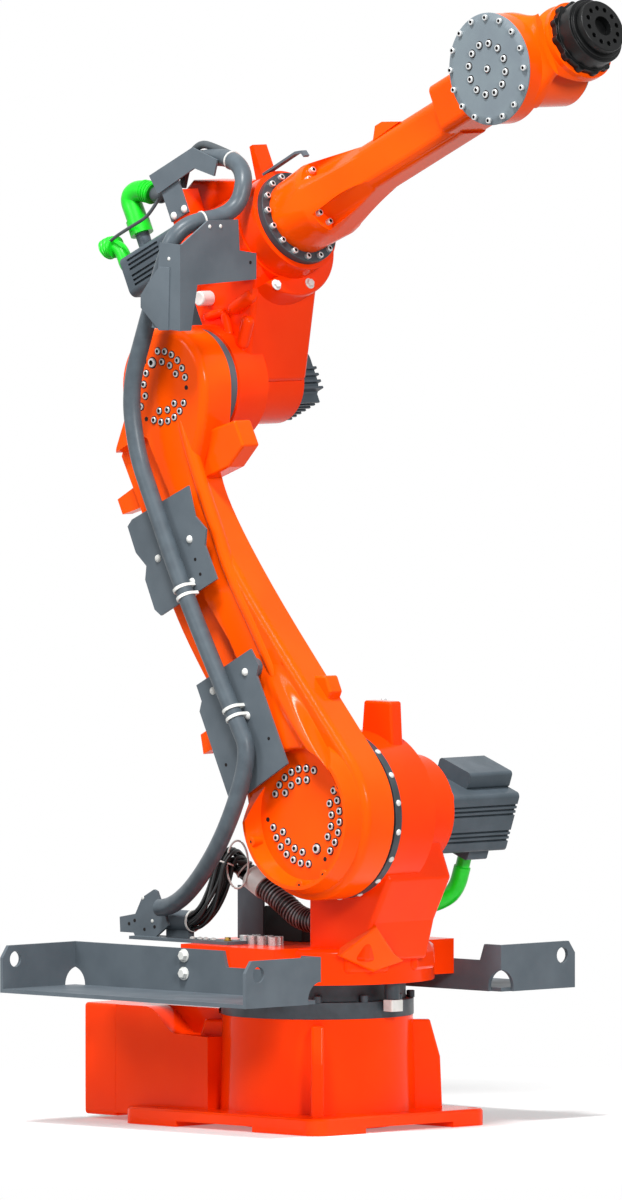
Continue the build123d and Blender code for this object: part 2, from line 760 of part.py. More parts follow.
with BuildPart() as forearm_casting:
    with BuildSketch(along(RUN_GAP)):
        RectangleRounded(2 * ROOT_R, 2 * ROOT_R, ROOT_R - 1)
    with BuildSketch(along(ROOT_END)):
        RectangleRounded(2 * ROOT_R, 2 * ROOT_R, ROOT_R - 22)
    loft(ruled=True)
    with BuildSketch(along(ROOT_END)):
        RectangleRounded(2 * ROOT_R, 2 * ROOT_R, ROOT_R - 22)
    with BuildSketch(along(TAPER_END)):
        RectangleRounded(2 * TUBE_HALF, 2 * TUBE_HALF, 30)
    loft(ruled=True)
    with BuildSketch(along(TAPER_END)):
        RectangleRounded(2 * TUBE_HALF, 2 * TUBE_HALF, 30)
    extrude(amount=NECK_T + 10 - TAPER_END)
    with BuildSketch(along(NECK_T, -18, 14)):
        RectangleRounded(NECK_W, NECK_H, 24)
    extrude(amount=NECK_BLOCK)
    with BuildSketch(across(HEAD_LEFT, FOREARM_LENGTH)):
        Circle(HEAD_R)
    extrude(amount=HEAD_LEFT - HEAD_RIGHT)
    with BuildSketch(along(POCKET_T)):
        with PolarLocations(ROOT_R - 2, 4, start_angle=45):
            RectangleRounded(56, 62, 14)
    extrude(amount=TAPER_END - POCKET_T, mode=Mode.SUBTRACT)
    with BuildSketch(across(-10, TAPER_END)):
        Polygon((56, TUBE_HALF - 10), (79, 79), (105, 79), (162, TUBE_HALF - 4), align=None)
    extrude(amount=42)
forearm_casting.part.label = "forearm_casting"
export_step(forearm_casting.part, "parts/forearm_casting.step")

with BuildPart() as wrist_cover_left:
    with BuildSketch(across(HEAD_LEFT + COVER_T, FOREARM_LENGTH)):
        Circle(HEAD_R - 6)
    extrude(amount=COVER_T)
wrist_cover_left.part.label = "wrist_cover_left"
export_step(wrist_cover_left.part, "parts/wrist_cover_left.step")

# Wrist body: a flat barrel beside the forearm's head, and a round hand in front of it
HAND_END = FOREARM_LENGTH + HAND_LENGTH
SWING = 65.0
NECK_SWING = NECK_H / 2 + 14 + 6

with BuildPart() as wrist_casting:
    with BuildSketch(along(FOREARM_LENGTH + 24, BARREL_FACE / 2 + 12, 15)):
        RectangleRounded(-BARREL_FACE + 24, 2 * BARREL_R - 44, 70)
    with BuildSketch(along(HAND_END - 15)):
        RectangleRounded(2 * HAND_R, 2 * HAND_R, HAND_R - 1)
    loft(ruled=True)
    with BuildSketch(along(HAND_END - 15)):
        Circle(HAND_R)
    extrude(amount=15)
    with BuildSketch(across(HEAD_LEFT + 40, FOREARM_LENGTH)):
        Circle(HEAD_R + 7)
        with Locations((-100, 0)):
            Rectangle(260, 2 * BARREL_R + 40)
        for turn in (-SWING, SWING):
            with Locations(Location((0, 0, 0), (0, 0, turn))):
                with Locations((150, 0)):
                    Rectangle(300, 2 * NECK_SWING)
    extrude(amount=HEAD_LEFT + 40 - HEAD_RIGHT + RUN_GAP, mode=Mode.SUBTRACT)
    with BuildSketch(across(HEAD_RIGHT - RUN_GAP, FOREARM_LENGTH)):
        Circle(BARREL_R)
    extrude(amount=HEAD_RIGHT - RUN_GAP - BARREL_FACE)
wrist_casting.part.label = "wrist_casting"
export_step(wrist_casting.part, "parts/wrist_casting.step")

with BuildPart() as wrist_cover:
    with BuildSketch(across(BARREL_FACE, FOREARM_LENGTH)):
        Circle(COVER_R)
    extrude(amount=COVER_T)
    chamfer(wrist_cover.edges().sort_by(Axis.Y)[0], COVER_T - 4, 22)
wrist_cover.part.label = "wrist_cover"
export_step(wrist_cover.part, "parts/wrist_cover.step")

# Axis 6 gearbox with a lobed flange, and the tool flange
GEAR_END = HAND_END + 68

with BuildPart() as axis_6_gearbox:
    with BuildSketch(along(HAND_END)):
        Circle(HAND_R - 11)
        with PolarLocations(HAND_R - 17, 12):
            Circle(13)
    extrude(amount=18)
    with BuildSketch(along(HAND_END)):
        Circle(86)
    extrude(amount=60)
    with BuildSketch(along(HAND_END + 60)):
        Circle(78)
    extrude(amount=GEAR_END - HAND_END - 60)
axis_6_gearbox.part.label = "axis_6_gearbox"
export_step(axis_6_gearbox.part, "parts/axis_6_gearbox.step")

with BuildPart() as tool_flange:
    with BuildSketch(along(GEAR_END + RUN_GAP)):
        Circle(FLANGE_R + 2)
        with PolarLocations(FLANGE_PCD / 2, 12):
            Circle(FLANGE_HOLE_R, mode=Mode.SUBTRACT)
        Circle(FLANGE_BORE_R, mode=Mode.SUBTRACT)
    extrude(amount=FOREARM_LENGTH + TOOL_LENGTH - GEAR_END - RUN_GAP)
    rims = tool_flange.edges().filter_by(GeomType.CIRCLE).group_by(SortBy.RADIUS)[-1]
    chamfer(rims.sort_by(Axis.X)[-1], 2)
tool_flange.part.label = "tool_flange"
export_step(tool_flange.part, "parts/tool_flange.step")

# Sheet plates and clips that hold the hose to the lower arm
with BuildPart() as hose_plate_upper:
    with BuildSketch(side(PLATE_BACK)):
        Polygon(
            limb(0.761, -230),
            limb(0.769, -208),
            limb(0.765, 12),
            limb(0.699, 0),
            limb(0.660, 22),
            limb(0.630, 0),
            limb(0.551, 3),
            limb(0.549, -219),
            limb(0.568, -233),
            limb(0.637, -231),
            limb(0.662, -212),
            limb(0.701, -232),
            align=None,
        )
    extrude(amount=THIN_SHEET)
    with BuildSketch(side(ARM_FACE)):
        with Locations(limb(0.661, -41)):
            Circle(24)
    extrude(amount=ARM_FACE - PLATE_BACK)
hose_plate_upper.part.label = "hose_plate_upper"
export_step(hose_plate_upper.part, "parts/hose_plate_upper.step")

with BuildPart() as hose_plate_lower:
    with BuildSketch(side(PLATE_BACK)):
        Polygon(
            limb(0.372, -180),
            limb(0.376, 36),
            limb(0.335, 44),
            limb(0.318, 26),
            limb(0.112, 30),
            limb(0.100, -180),
            limb(0.118, -198),
            limb(0.318, -198),
            limb(0.335, -180),
            align=None,
        )
    extrude(amount=THIN_SHEET)
    with BuildSketch(side(ARM_FACE)):
        with Locations(limb(0.345, 0)):
            Circle(24)
    extrude(amount=ARM_FACE - PLATE_BACK)
hose_plate_lower.part.label = "hose_plate_lower"
export_step(hose_plate_lower.part, "parts/hose_plate_lower.step")

CLIP_LOW = at(HOSE_Y, limb(0.2454, -65.5))
CLIP_HIGH = at(HOSE_Y, limb(0.5734, -97.3))
ARM_END = at(HOSE_Y, limb(0.7878, -97.1))
COVER_POINT = at(HOSE_Y, elbow(7.7, 156))
RISE_LOW = (CLIP_HIGH - CLIP_LOW).normalized()
RISE_HIGH = (ARM_END - CLIP_HIGH).normalized()
RISE_TOP = Vector(62, 0, 163).normalized()

with BuildPart() as hose_clips:
    for share in (0.06, 0.95):
        middle = CLIP_LOW + (CLIP_HIGH - CLIP_LOW) * share
        for shift in (-16, 8):
            plane = Plane(origin=middle + RISE_LOW * shift, x_dir=(0, 1, 0), z_dir=RISE_LOW)
            with BuildSketch(plane):
                Circle(HOSE_R + 3)
                with Locations((HOSE_R / 2, 0)):
                    Rectangle(HOSE_R + 3, 2 * HOSE_R + 6)
                with Locations((HOSE_R + 1.5 + 20, 0)):
                    Rectangle(40, 2 * HOSE_R + 60, mode=Mode.SUBTRACT)
                Circle(HOSE_R - 0.7, mode=Mode.SUBTRACT)
            extrude(amount=8)
hose_clips.part.label = "hose_clips"
export_step(hose_clips.part, "parts/hose_clips.step")

# Stand for the hose: a strip along the deck, a gusset plate and a sleeve for the cables
STAND_Y = -DECK_R + 24
STAND_X = -DECK_R + 2
GUSSET_Z = PAD_TOP + 8

with BuildPart() as hose_stand:
    with BuildSketch(Plane.XY.offset(PAD_TOP)):
        with Locations(((STAND_X - 100 - 42) / 2, STAND_Y + 30)):
            Rectangle(STAND_X * -1 + 100 - 42, 76)
    extrude(amount=8)
    with BuildSketch(side(STAND_Y + 28)):
        Polygon(
            (STAND_X - 160, GUSSET_Z + 6),
            (STAND_X - 162, GUSSET_Z + 44),
            (STAND_X - 106, GUSSET_Z + 54),
            (STAND_X - 82, GUSSET_Z + 96),
            (STAND_X - 40, GUSSET_Z + 118),
            (STAND_X - 30, GUSSET_Z + 114),
            (STAND_X + 12, GUSSET_Z + 30),
            (STAND_X - 44, GUSSET_Z - 8),
            (STAND_X - 104, GUSSET_Z - 8),
            (STAND_X - 112, GUSSET_Z + 6),
            align=None,
        )
    extrude(amount=8)
    with BuildSketch(Plane.YZ.offset(STAND_X - 20)):
        with Locations((STAND_Y + 54, GUSSET_Z + 42)):
            Circle(CABLE_R)
            with Locations((0, -25)):
                Rectangle(20, 50)
    extrude(amount=80)
hose_stand.part.label = "hose_stand"
export_step(hose_stand.part, "parts/hose_stand.step")

# Post, bracket, cables, collar and conduit between the stand and the column
with BuildPart() as cable_post:
    with BuildSketch(side(-54)):
        Polygon(
            (-DECK_R + 70, PAD_TOP),
            (-DECK_R + 70, PAD_TOP + 134),
            (-DECK_R + 116, PAD_TOP + 134),
            (-DECK_R + 161, PAD_TOP + 104),
            (-DECK_R + 161, PAD_TOP),
            align=None,
        )
    extrude(amount=THIN_SHEET)
cable_post.part.label = "cable_post"
export_step(cable_post.part, "parts/cable_post.step")

with BuildPart() as cable_box:
    with BuildSketch(side(-14)):
        Polygon(
            (-DECK_R + 166, PAD_TOP),
            (-DECK_R + 166, DECK_TOP + 88),
            (-DECK_R + 218, DECK_TOP + 88),
            (-DECK_R + 298, DECK_TOP + 40),
            (-DECK_R + 298, PAD_TOP),
            align=None,
        )
    extrude(amount=46)
cable_box.part.label = "cable_box"
export_step(cable_box.part, "parts/cable_box.step")

SLEEVE_POINT = Vector(STAND_X + 60, STAND_Y + 54, GUSSET_Z + 42)
COLLAR_POINT = Vector(COLUMN_REAR - 236, -110, PAD_TOP + 162)
COLLAR_END = Vector(COLUMN_REAR - 190, -110, PAD_TOP + 137)
COLLAR_RUN = (COLLAR_END - COLLAR_POINT).normalized()

cable_bundle = tube(
    [
        SLEEVE_POINT,
        SLEEVE_POINT + Vector(38, 0, 0),
        SLEEVE_POINT + Vector(66, 34, 90),
        COLLAR_POINT + Vector(-34, -60, 66),
        COLLAR_POINT - COLLAR_RUN * 46,
        COLLAR_POINT,
    ],
    [34, 40, 30, 24],
    CABLE_R - 7,
)
cable_bundle.label = "cable_bundle"
export_step(cable_bundle, "parts/cable_bundle.step")

with BuildPart() as cable_collar:
    with BuildSketch(Plane(origin=COLLAR_POINT, z_dir=COLLAR_RUN)):
        Circle(CONDUIT_R + 3)
    extrude(amount=(COLLAR_END - COLLAR_POINT).length)
cable_collar.part.label = "cable_collar"
export_step(cable_collar.part, "parts/cable_collar.step")

cable_conduit = tube(
    [
        COLLAR_END,
        COLLAR_END + COLLAR_RUN * 70,
        Vector(COLUMN_REAR - 60, -110, PAD_TOP + 58),
        Vector(COLUMN_REAR, -110, PAD_TOP + 58),
    ],
    [150, 70],
    CONDUIT_R,
)
cable_conduit.label = "cable_conduit"
export_step(cable_conduit, "parts/cable_conduit.step")

# Hose, cut where its clips hold it
STAND_POINT = Vector(STAND_X, STAND_Y, GUSSET_Z + 75)

hose_base_span = tube(
    [
        STAND_POINT,
        STAND_POINT + Vector(67, 0, 0),
        STAND_POINT + Vector(326, -102, 177),
        CLIP_LOW - RISE_LOW * 96,
        CLIP_LOW,
    ],
    [150, 180, 90],
    HOSE_R,
)
hose_base_span.label = "hose_base_span"
export_step(hose_base_span, "parts/hose_base_span.step")

hose_arm_run = tube([CLIP_LOW, CLIP_HIGH, ARM_END], [300], HOSE_R)
hose_arm_run.label = "hose_arm_run"
export_step(hose_arm_run, "parts/hose_arm_run.step")

hose_elbow_span = tube(
    [ARM_END, ARM_END + RISE_HIGH * 110, COVER_POINT - RISE_TOP * 175, COVER_POINT],
    [200, 260],
    HOSE_R,
)
hose_elbow_span.label = "hose_elbow_span"
export_step(hose_elbow_span, "parts/hose_elbow_span.step")

hose_loop = tube(
    [
        COVER_POINT,
        COVER_POINT + RISE_TOP * 150,
        at(-330, elbow(99, 411)),
        at(-168, elbow(139, 430)),
        at(-138, elbow(152, 530)),
        at(-98, elbow(48, 578)),
        at(-82, elbow(-48, 566)),
    ],
    [60, 60, 55, 55, 70],
    HOSE_R,
)
hose_loop.label = "hose_loop"
export_step(hose_loop, "parts/hose_loop.step")

# Hose cover, bent in plan
COVER_X = 163.0

with BuildPart() as hose_cover:
    with BuildSketch(Plane.YZ.offset(AXIS_3_X + COVER_X)):
        with Locations((0, AXIS_3_Z)):
            Polygon(
                (-385, 147),
                (-352, 147),
                (-330, 261),
                (-122, 269),
                (-122, 335),
                (-181, 343),
                (-186, 421),
                (-292, 421),
                (-385, 363),
                align=None,
            )
    extrude(amount=THIN_SHEET)
    with BuildSketch(side(-385)):
        Polygon(
            elbow(COVER_X + THIN_SHEET, 147),
            elbow(COVER_X + THIN_SHEET, 363),
            elbow(96, 367),
            elbow(84, 233),
            elbow(67, 153),
            align=None,
        )
    extrude(amount=THIN_SHEET)
hose_cover.part.label = "hose_cover"
export_step(hose_cover.part, "parts/hose_cover.step")

# Roof bracket over the hose's end, the stay that carries it, and the guide strap
ROOF_Y = -114.0 - THIN_SHEET

with BuildPart() as roof_stay:
    with BuildSketch(across(-114)):
        Polygon((-312, 126), (-246, 126), (-246, 235), (-312, 235), align=None)
    extrude(amount=THIN_SHEET)
roof_stay.part.label = "roof_stay"
export_step(roof_stay.part, "parts/roof_stay.step")

with BuildPart() as hose_roof:
    with BuildSketch(across(ROOF_Y)):
        Polygon(
            (-330, 262),
            (-159, 264),
            (-91, 200),
            (-119, 168),
            (-175, 214),
            (-321, 208),
            align=None,
        )
    extrude(amount=THIN_SHEET)
    with BuildSketch(across(-20)):
        Polygon((-330, 262), (-330, 256), (-178, 258), (-178, 264), align=None)
    extrude(amount=-20 - ROOF_Y)
hose_roof.part.label = "hose_roof"
export_step(hose_roof.part, "parts/hose_roof.step")

with BuildPart() as elbow_strap:
    with BuildSketch(across(-7)):
        Polygon(
            (-53, 137),
            (75, 140),
            (95, 133),
            (99, 121),
            (105, 123),
            (100, 139),
            (77, 146),
            (-53, 143),
            align=None,
        )
    extrude(amount=18)
elbow_strap.part.label = "elbow_strap"
export_step(elbow_strap.part, "parts/elbow_strap.step")
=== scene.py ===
"""Blender scene of a jointed industrial robot arm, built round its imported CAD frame.

The CAD solids keep their shapes and get painted, cast, moulded and rubber finishes. The dress
hose, the cable bundle, the screws, the fittings and some cast swellings and ribs are made here as
numpy surfaces.
All sizes are in millimetres in the frame of the CAD and become metres when a mesh is made.
"""

import json
import logging
from dataclasses import dataclass, field
from enum import Enum
from typing import Iterable, Sequence

import bpy
import numpy as np
from mathutils.bvhtree import BVHTree
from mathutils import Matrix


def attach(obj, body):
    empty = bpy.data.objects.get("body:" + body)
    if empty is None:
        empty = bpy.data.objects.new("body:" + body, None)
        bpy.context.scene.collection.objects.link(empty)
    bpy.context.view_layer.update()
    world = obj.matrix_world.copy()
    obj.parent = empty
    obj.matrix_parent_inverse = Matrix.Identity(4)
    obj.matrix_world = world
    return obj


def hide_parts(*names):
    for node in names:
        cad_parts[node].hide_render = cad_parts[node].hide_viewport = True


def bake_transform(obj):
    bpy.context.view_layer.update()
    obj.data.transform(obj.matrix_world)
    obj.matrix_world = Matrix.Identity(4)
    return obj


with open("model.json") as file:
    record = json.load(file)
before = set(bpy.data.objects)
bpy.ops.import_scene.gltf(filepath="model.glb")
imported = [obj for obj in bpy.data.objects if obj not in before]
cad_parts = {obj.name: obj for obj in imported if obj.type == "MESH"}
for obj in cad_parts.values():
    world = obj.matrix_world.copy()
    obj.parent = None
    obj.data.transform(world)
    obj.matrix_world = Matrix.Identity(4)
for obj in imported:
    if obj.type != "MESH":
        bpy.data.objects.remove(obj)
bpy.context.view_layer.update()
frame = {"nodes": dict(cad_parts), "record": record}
FACES = {
    name: BVHTree.FromPolygons([v.co for v in solid.data.vertices], [p.vertices for p in solid.data.polygons])
    for name, solid in frame["nodes"].items()
}

Array = np.ndarray
Rows = tuple[tuple[float, ...], ...]
LOG = logging.getLogger("robot_arm")
MM = 0.001

# Joint places, the lengths between them and the two leaning directions, the same as in the CAD.
AXIS_2 = np.array([250.0, 0.0, 799.0])
ARM_LENGTH = 1176.0
NECK_AHEAD, NECK_ABOVE = 362.0, 297.0
FOREARM_LENGTH = 925.0
LEAN = np.radians(25.9)
PITCH = np.radians(25.3)
ALONG_ARM = np.array([-np.sin(LEAN), 0.0, np.cos(LEAN)])
FRONT_OF_ARM = np.array([np.cos(LEAN), 0.0, np.sin(LEAN)])
AXIS_3 = AXIS_2 + ARM_LENGTH * ALONG_ARM
FORWARD = np.array([np.cos(PITCH), 0.0, np.sin(PITCH)])
RISE = np.array([-np.sin(PITCH), 0.0, np.cos(PITCH)])
AXIS_4 = AXIS_3 + NECK_AHEAD * FORWARD + NECK_ABOVE * RISE
AXIS_5 = AXIS_4 + FOREARM_LENGTH * FORWARD
EAST = np.array([1.0, 0.0, 0.0])
NORTH = np.array([0.0, 1.0, 0.0])
UP = np.array([0.0, 0.0, 1.0])
# The depth of the dress hose beside the arm.
HOSE_Y = -350.0


def limb(share: float, front: float, y: float) -> Array:
    """Gives the point at a share of the lower arm's length, so far in front of its line, at a depth y."""
    return AXIS_2 + ARM_LENGTH * share * ALONG_ARM + front * FRONT_OF_ARM + y * NORTH


def elbow(x: float, z: float, y: float) -> Array:
    """Gives the point x forward of axis 3 and z above it, at a depth y."""
    return AXIS_3 + x * EAST + z * UP + y * NORTH


def fore(along: float, rise: float, y: float) -> Array:
    """Gives the point so far along the forearm from axis 4's ring and so far above its line, at a depth y."""
    return AXIS_4 + along * FORWARD + rise * RISE + y * NORTH


def unit(vector: Array) -> Array:
    """Scales vectors, one to a row, to a length of one."""
    return vector / np.linalg.norm(vector, axis=-1, keepdims=True)


def around(centre: Array, right: Array, up: Array, radius: float, degrees: Iterable[float]) -> Array:
    """Puts points on a circle.

    Args:
        centre: the middle of the circle.
        right: the direction of angle 0.
        up: the direction of angle 90.
        radius: the circle's radius.
        degrees: the points' angles.

    Returns:
        One point to a row: centre plus radius times cosine along right and sine along up.
    """
    angle = np.radians(np.asarray(list(degrees), float))[:, None]
    return centre + radius * (np.cos(angle) * right + np.sin(angle) * up)


def groups(middles: Sequence[float], step: float, count: int) -> Array:
    """Gives the angles of groups of screws, each spread evenly about its middle angle."""
    spread = step * (np.arange(count) - (count - 1) / 2)
    return (np.asarray(middles)[:, None] + spread).ravel()


@dataclass
class Patch:
    """A mesh in the making: points, the corners of its faces in one row, their numbers, and their finishes."""

    points: Array
    corners: Array
    sizes: Array
    marks: Array


def join(patches: Iterable[Patch]) -> Patch:
    """Puts patches into one.

    Args:
        patches: the patches.

    Returns:
        One patch, with each one's corners counted on from the points before it.
    """
    patches = list(patches)
    starts = np.cumsum([0] + [len(p.points) for p in patches[:-1]])
    return Patch(
        np.concatenate([p.points for p in patches]),
        np.concatenate([p.corners + s for p, s in zip(patches, starts)]),
        np.concatenate([p.sizes for p in patches]),
        np.concatenate([p.marks for p in patches]),
    )


def grid(points: Array, marks: Sequence[int] | int = 0, ring: bool = False) -> Patch:
    """Makes a surface from a grid of points: rows along it, and columns round it that close on themselves.

    Each face takes four neighbours in the order next column, next row, so that it points outwards
    where the columns turn anticlockwise about the way of the rows.

    Args:
        points: an array of rows by columns by 3.
        marks: the finish of each strip between two rows, or one for all.
        ring: whether the last row joins the first, as in a hoop; otherwise flat ends close it.

    Returns:
        The surface.
    """
    rows, columns = points.shape[:2]
    index = np.arange(rows * columns).reshape(rows, columns)
    low, high = (index, np.roll(index, -1, axis=0)) if ring else (index[:-1], index[1:])
    faces = np.stack([low, np.roll(low, -1, 1), np.roll(high, -1, 1), high], axis=-1)
    strip = np.broadcast_to(marks, len(low))
    corners, sizes, finish = [faces.ravel()], [np.full(low.size, 4)], [np.repeat(strip, columns)]
    if not ring:
        corners += [index[0][::-1], index[-1]]
        sizes += [np.full(2, columns)]
        finish += [strip[[0, -1]]]
    return Patch(points.reshape(-1, 3), *(np.concatenate(part) for part in (corners, sizes, finish)))


def revolve(profile: Sequence[tuple[float, float]], columns: int = 16, marks: Sequence[int] | int = 0,
            ring: bool = False, sides: int = 0) -> Patch:
    """Turns a profile of radius and height about the upright axis.

    Args:
        profile: pairs of radius and height, from the foot up and over.
        columns: how many points go round.
        marks: the finish of each strip.
        ring: whether the profile closes on itself.
        sides: a number of flats, as on a hexagon; 0 is round.

    Returns:
        The surface, with its axis on the upright through the origin.
    """
    radius, height = np.asarray(profile, float).T
    angle = np.linspace(0, 2 * np.pi, columns, endpoint=False)
    half = np.pi / sides if sides else 0.0
    flats = np.cos(half) / np.cos(angle % (2 * half) - half) if sides else np.ones(columns)
    circle = np.stack([np.cos(angle), np.sin(angle)], axis=-1) * flats[:, None]
    flat = radius[:, None, None] * circle[None]
    upright = np.broadcast_to(height[:, None, None], (*flat.shape[:2], 1))
    return grid(np.concatenate([flat, upright], axis=-1), marks, ring)


def hoop(inner: float, outer: float, half: float, columns: int = 28, mark: int = 0) -> Patch:
    """Turns a rectangle between two radii, as wide as twice the half, into a flat tie about the upright axis."""
    return revolve([(inner, -half), (outer, -half), (outer, half), (inner, half)], columns, mark, ring=True)


def scatter(shape: Patch, places: Array, out: Array) -> Patch:
    """Sets copies of a shape on places, turned so that its upright points outwards.

    Args:
        shape: the shape, upright along its own height.
        places: one place to a row.
        out: the outward direction, one for all or one to a place.

    Returns:
        All the copies in one patch; point = place + x side + y across + z out.
    """
    places = np.atleast_2d(places)
    out = np.broadcast_to(unit(np.asarray(out, float)), places.shape)
    guide = np.where(np.abs(out @ UP)[:, None] > 0.9, EAST, UP)
    side = unit(np.cross(guide, out))
    turn = np.stack([side, np.cross(out, side), out], axis=1)
    points = np.einsum("pk,nkj->npj", shape.points, turn) + places[:, None]
    count, size = len(places), len(shape.points)
    return Patch(
        points.reshape(-1, 3),
        (shape.corners[None] + size * np.arange(count)[:, None]).ravel(),
        np.tile(shape.sizes, count),
        np.tile(shape.marks, count),
    )


def axes(path: Array) -> tuple[Array, Array]:
    """Gives two directions square to a path at each of its points.

    Args:
        path: the points of a path that never runs along the guide.

    Returns:
        The guide less its share along the path, and the cross product of the path's way with that.
    """
    way = unit(np.gradient(path, axis=0))
    guide = unit(np.array([1.0, 1.0, -1.0]))
    side = unit(guide - (way @ guide)[:, None] * way)
    return side, np.cross(way, side)


def carry(path: Array, radius: Array | float, columns: int = 24, marks: Sequence[int] | int = 0,
          ring: bool = False) -> Patch:
    """Carries a circle along a path: path plus radius times cosine of one square direction and sine of the other.

    Args:
        path: the points of the middle line.
        radius: one radius, or one to each point.
        columns: how many points go round.
        marks: the finish of each strip.
        ring: whether the path closes on itself.

    Returns:
        The tube.
    """
    side, over = axes(path)
    angle = np.linspace(0, 2 * np.pi, columns, endpoint=False)[:, None]
    reach = np.broadcast_to(radius, len(path))[:, None, None]
    return grid(path[:, None] + reach * (np.cos(angle) * side[:, None] + np.sin(angle) * over[:, None]), marks, ring)


def run_of(path: Array) -> Array:
    """Gives the length along a path up to each of its points."""
    return np.concatenate([[0.0], np.cumsum(np.linalg.norm(np.diff(path, axis=0), axis=1))])


def even(path: Array, step: float) -> Array:
    """Spaces points evenly along a path.

    Args:
        path: the points of the path.
        step: about how far apart the new points are.

    Returns:
        Points at even steps of the length along the path.
    """
    run = run_of(path)
    at = np.linspace(0, run[-1], max(2, int(round(run[-1] / step)) + 1))
    return np.stack([np.interp(at, run, path[:, k]) for k in range(3)], axis=1)


def spline(route: Sequence[Sequence[float]], step: float) -> Array:
    """Reads evenly spaced points off a smooth NURBS line with the route's points as its control points.

    Args:
        route: the control points.
        step: the spacing of the points read.

    Returns:
        The points, one to a row.
    """
    points = np.asarray(route, float)
    curve = bpy.data.curves.new("route", "CURVE")
    curve.dimensions = "3D"
    line = curve.splines.new("NURBS")
    line.points.add(len(points) - 1)
    line.points.foreach_set("co", np.column_stack([points, np.ones(len(points))]).ravel())
    line.order_u = 3
    line.use_endpoint_u = True
    line.resolution_u = 32
    holder = bpy.data.objects.new("route", curve)
    mesh = bpy.data.meshes.new_from_object(holder)
    read = np.empty(3 * len(mesh.vertices), np.float32)
    mesh.vertices.foreach_get("co", read)
    bpy.data.objects.remove(holder)
    bpy.data.curves.remove(curve)
    bpy.data.meshes.remove(mesh)
    return even(read.reshape(-1, 3).astype(float), step)


def capsule(path: Array, radius: float) -> Patch:
    """Carries a round bar along a path, with a ball at each end.

    Args:
        path: the bar's middle line.
        radius: the bar's radius.

    Returns:
        The bar, which narrows by the arc of a circle within a radius of each end.
    """
    line = even(path, 0.2 * radius)
    run = run_of(line)
    inside = np.clip(np.minimum(run, run[-1] - run) / radius, 0.02, 1)
    return carry(line, radius * np.sqrt(1 - (1 - inside) ** 2), 20)


def block(outline: Array, out: Array, depth: float, edge: float) -> Patch:
    """Raises an outline into a block whose upper edge is rounded.

    Args:
        outline: the foot's points, anticlockwise seen from outside.
        out: the direction in which it rises.
        depth: how far it rises.
        edge: the radius of its upper edge.

    Returns:
        The block: rows of the outline, drawn in towards its middle by a quarter circle at the top.
    """
    arc = np.radians(np.linspace(0, 90, 5))
    height = np.concatenate([[0.0], depth - edge + edge * np.sin(arc)])
    inset = np.concatenate([[0.0], edge * (1 - np.cos(arc))])
    middle = outline.mean(axis=0)
    arm = outline - middle
    share = 1 - inset[:, None] / np.linalg.norm(arm, axis=1)
    return grid(middle + share[..., None] * arm + height[:, None, None] * out)


def loft(points: Array) -> Patch:
    """Closes a grid of loops into a solid and turns it so that its faces point outwards.

    Args:
        points: rows of loops, each closed on itself.

    Returns:
        The solid, with its columns reversed if its volume, a sum of triple products, comes out negative.
    """
    middle = points.mean(axis=(0, 1))
    a, b = points[:-1] - middle, points[1:] - middle
    volume = np.sum(np.cross(a, np.roll(a, -1, axis=1)) * b)
    return grid(points if volume > 0 else points[:, ::-1])


def smooth(value: Array) -> Array:
    """Eases from 0 to 1 with no slope at either end, by three squares less two cubes."""
    value = np.clip(value, 0, 1)
    return value * value * (3 - 2 * value)


def seat(solids: Sequence[str], places: Array, out: Array, reach: float = 90.0) -> Array:
    """Drops places onto CAD solids.

    Args:
        solids: the names of the nodes that may carry them.
        places: one place to a row.
        out: the outward direction.
        reach: how far outside each place the search starts.

    Returns:
        The first point of a solid on the way back along the outward direction, for each place.
    """
    found = []
    for place in np.atleast_2d(places):
        start = (place + reach * out) * MM
        hits = [FACES[name].ray_cast(start, -out, 2 * reach * MM) for name in solids]
        hits = [hit for hit in hits if hit[0] is not None]
        if not hits:
            LOG.warning("no seat for a fitting near %s", np.round(place))
        found.append(np.array(min(hits, key=lambda hit: hit[3])[0]) / MM if hits else place)
    return np.array(found)


def nearest(path: Array, point: Array) -> int:
    """Gives the number of the path's point that is nearest to a place."""
    return int(np.argmin(np.linalg.norm(path - point, axis=1)))


def ties(path: Array, spots: Sequence[int], tie: Patch) -> Patch:
    """Sets copies of a tie square on a path, at the points that the spots number."""
    return scatter(tie, path[spots], np.gradient(path, axis=0)[spots])


def linear(colour: str) -> tuple[float, float, float, float]:
    """Turns an sRGB colour into a linear one.

    Args:
        colour: a hash sign and six hex digits.

    Returns:
        Linear red, green, blue and a full alpha.
    """
    value = np.array([int(colour[k:k + 2], 16) for k in (1, 3, 5)]) / 255
    red, green, blue = np.where(value <= 0.04045, value / 12.92, ((value + 0.055) / 1.055) ** 2.4)
    return float(red), float(green), float(blue), 1.0


def node(tree: bpy.types.NodeTree, kind: str, inputs: dict | None = None, **settings: object) -> bpy.types.Node:
    """Adds a node.

    Args:
        tree: the tree that gets it.
        kind: the node's type, less the word ShaderNode.
        inputs: a value, or the output that is linked, for each input by its name or number.
        settings: the node's own properties.

    Returns:
        The node.
    """
    made = tree.nodes.new("ShaderNode" + kind)
    for name, value in settings.items():
        setattr(made, name, value)
    for name, value in (inputs or {}).items():
        if isinstance(value, bpy.types.NodeSocket):
            tree.links.new(value, made.inputs[name])
        else:
            made.inputs[name].default_value = value
    return made


def bare(owner: bpy.types.Material | bpy.types.World) -> bpy.types.NodeTree:
    """Empties a node tree.

    Args:
        owner: the material or the world that has it.

    Returns:
        The tree.
    """
    owner.use_nodes = True
    owner.node_tree.nodes.clear()
    return owner.node_tree


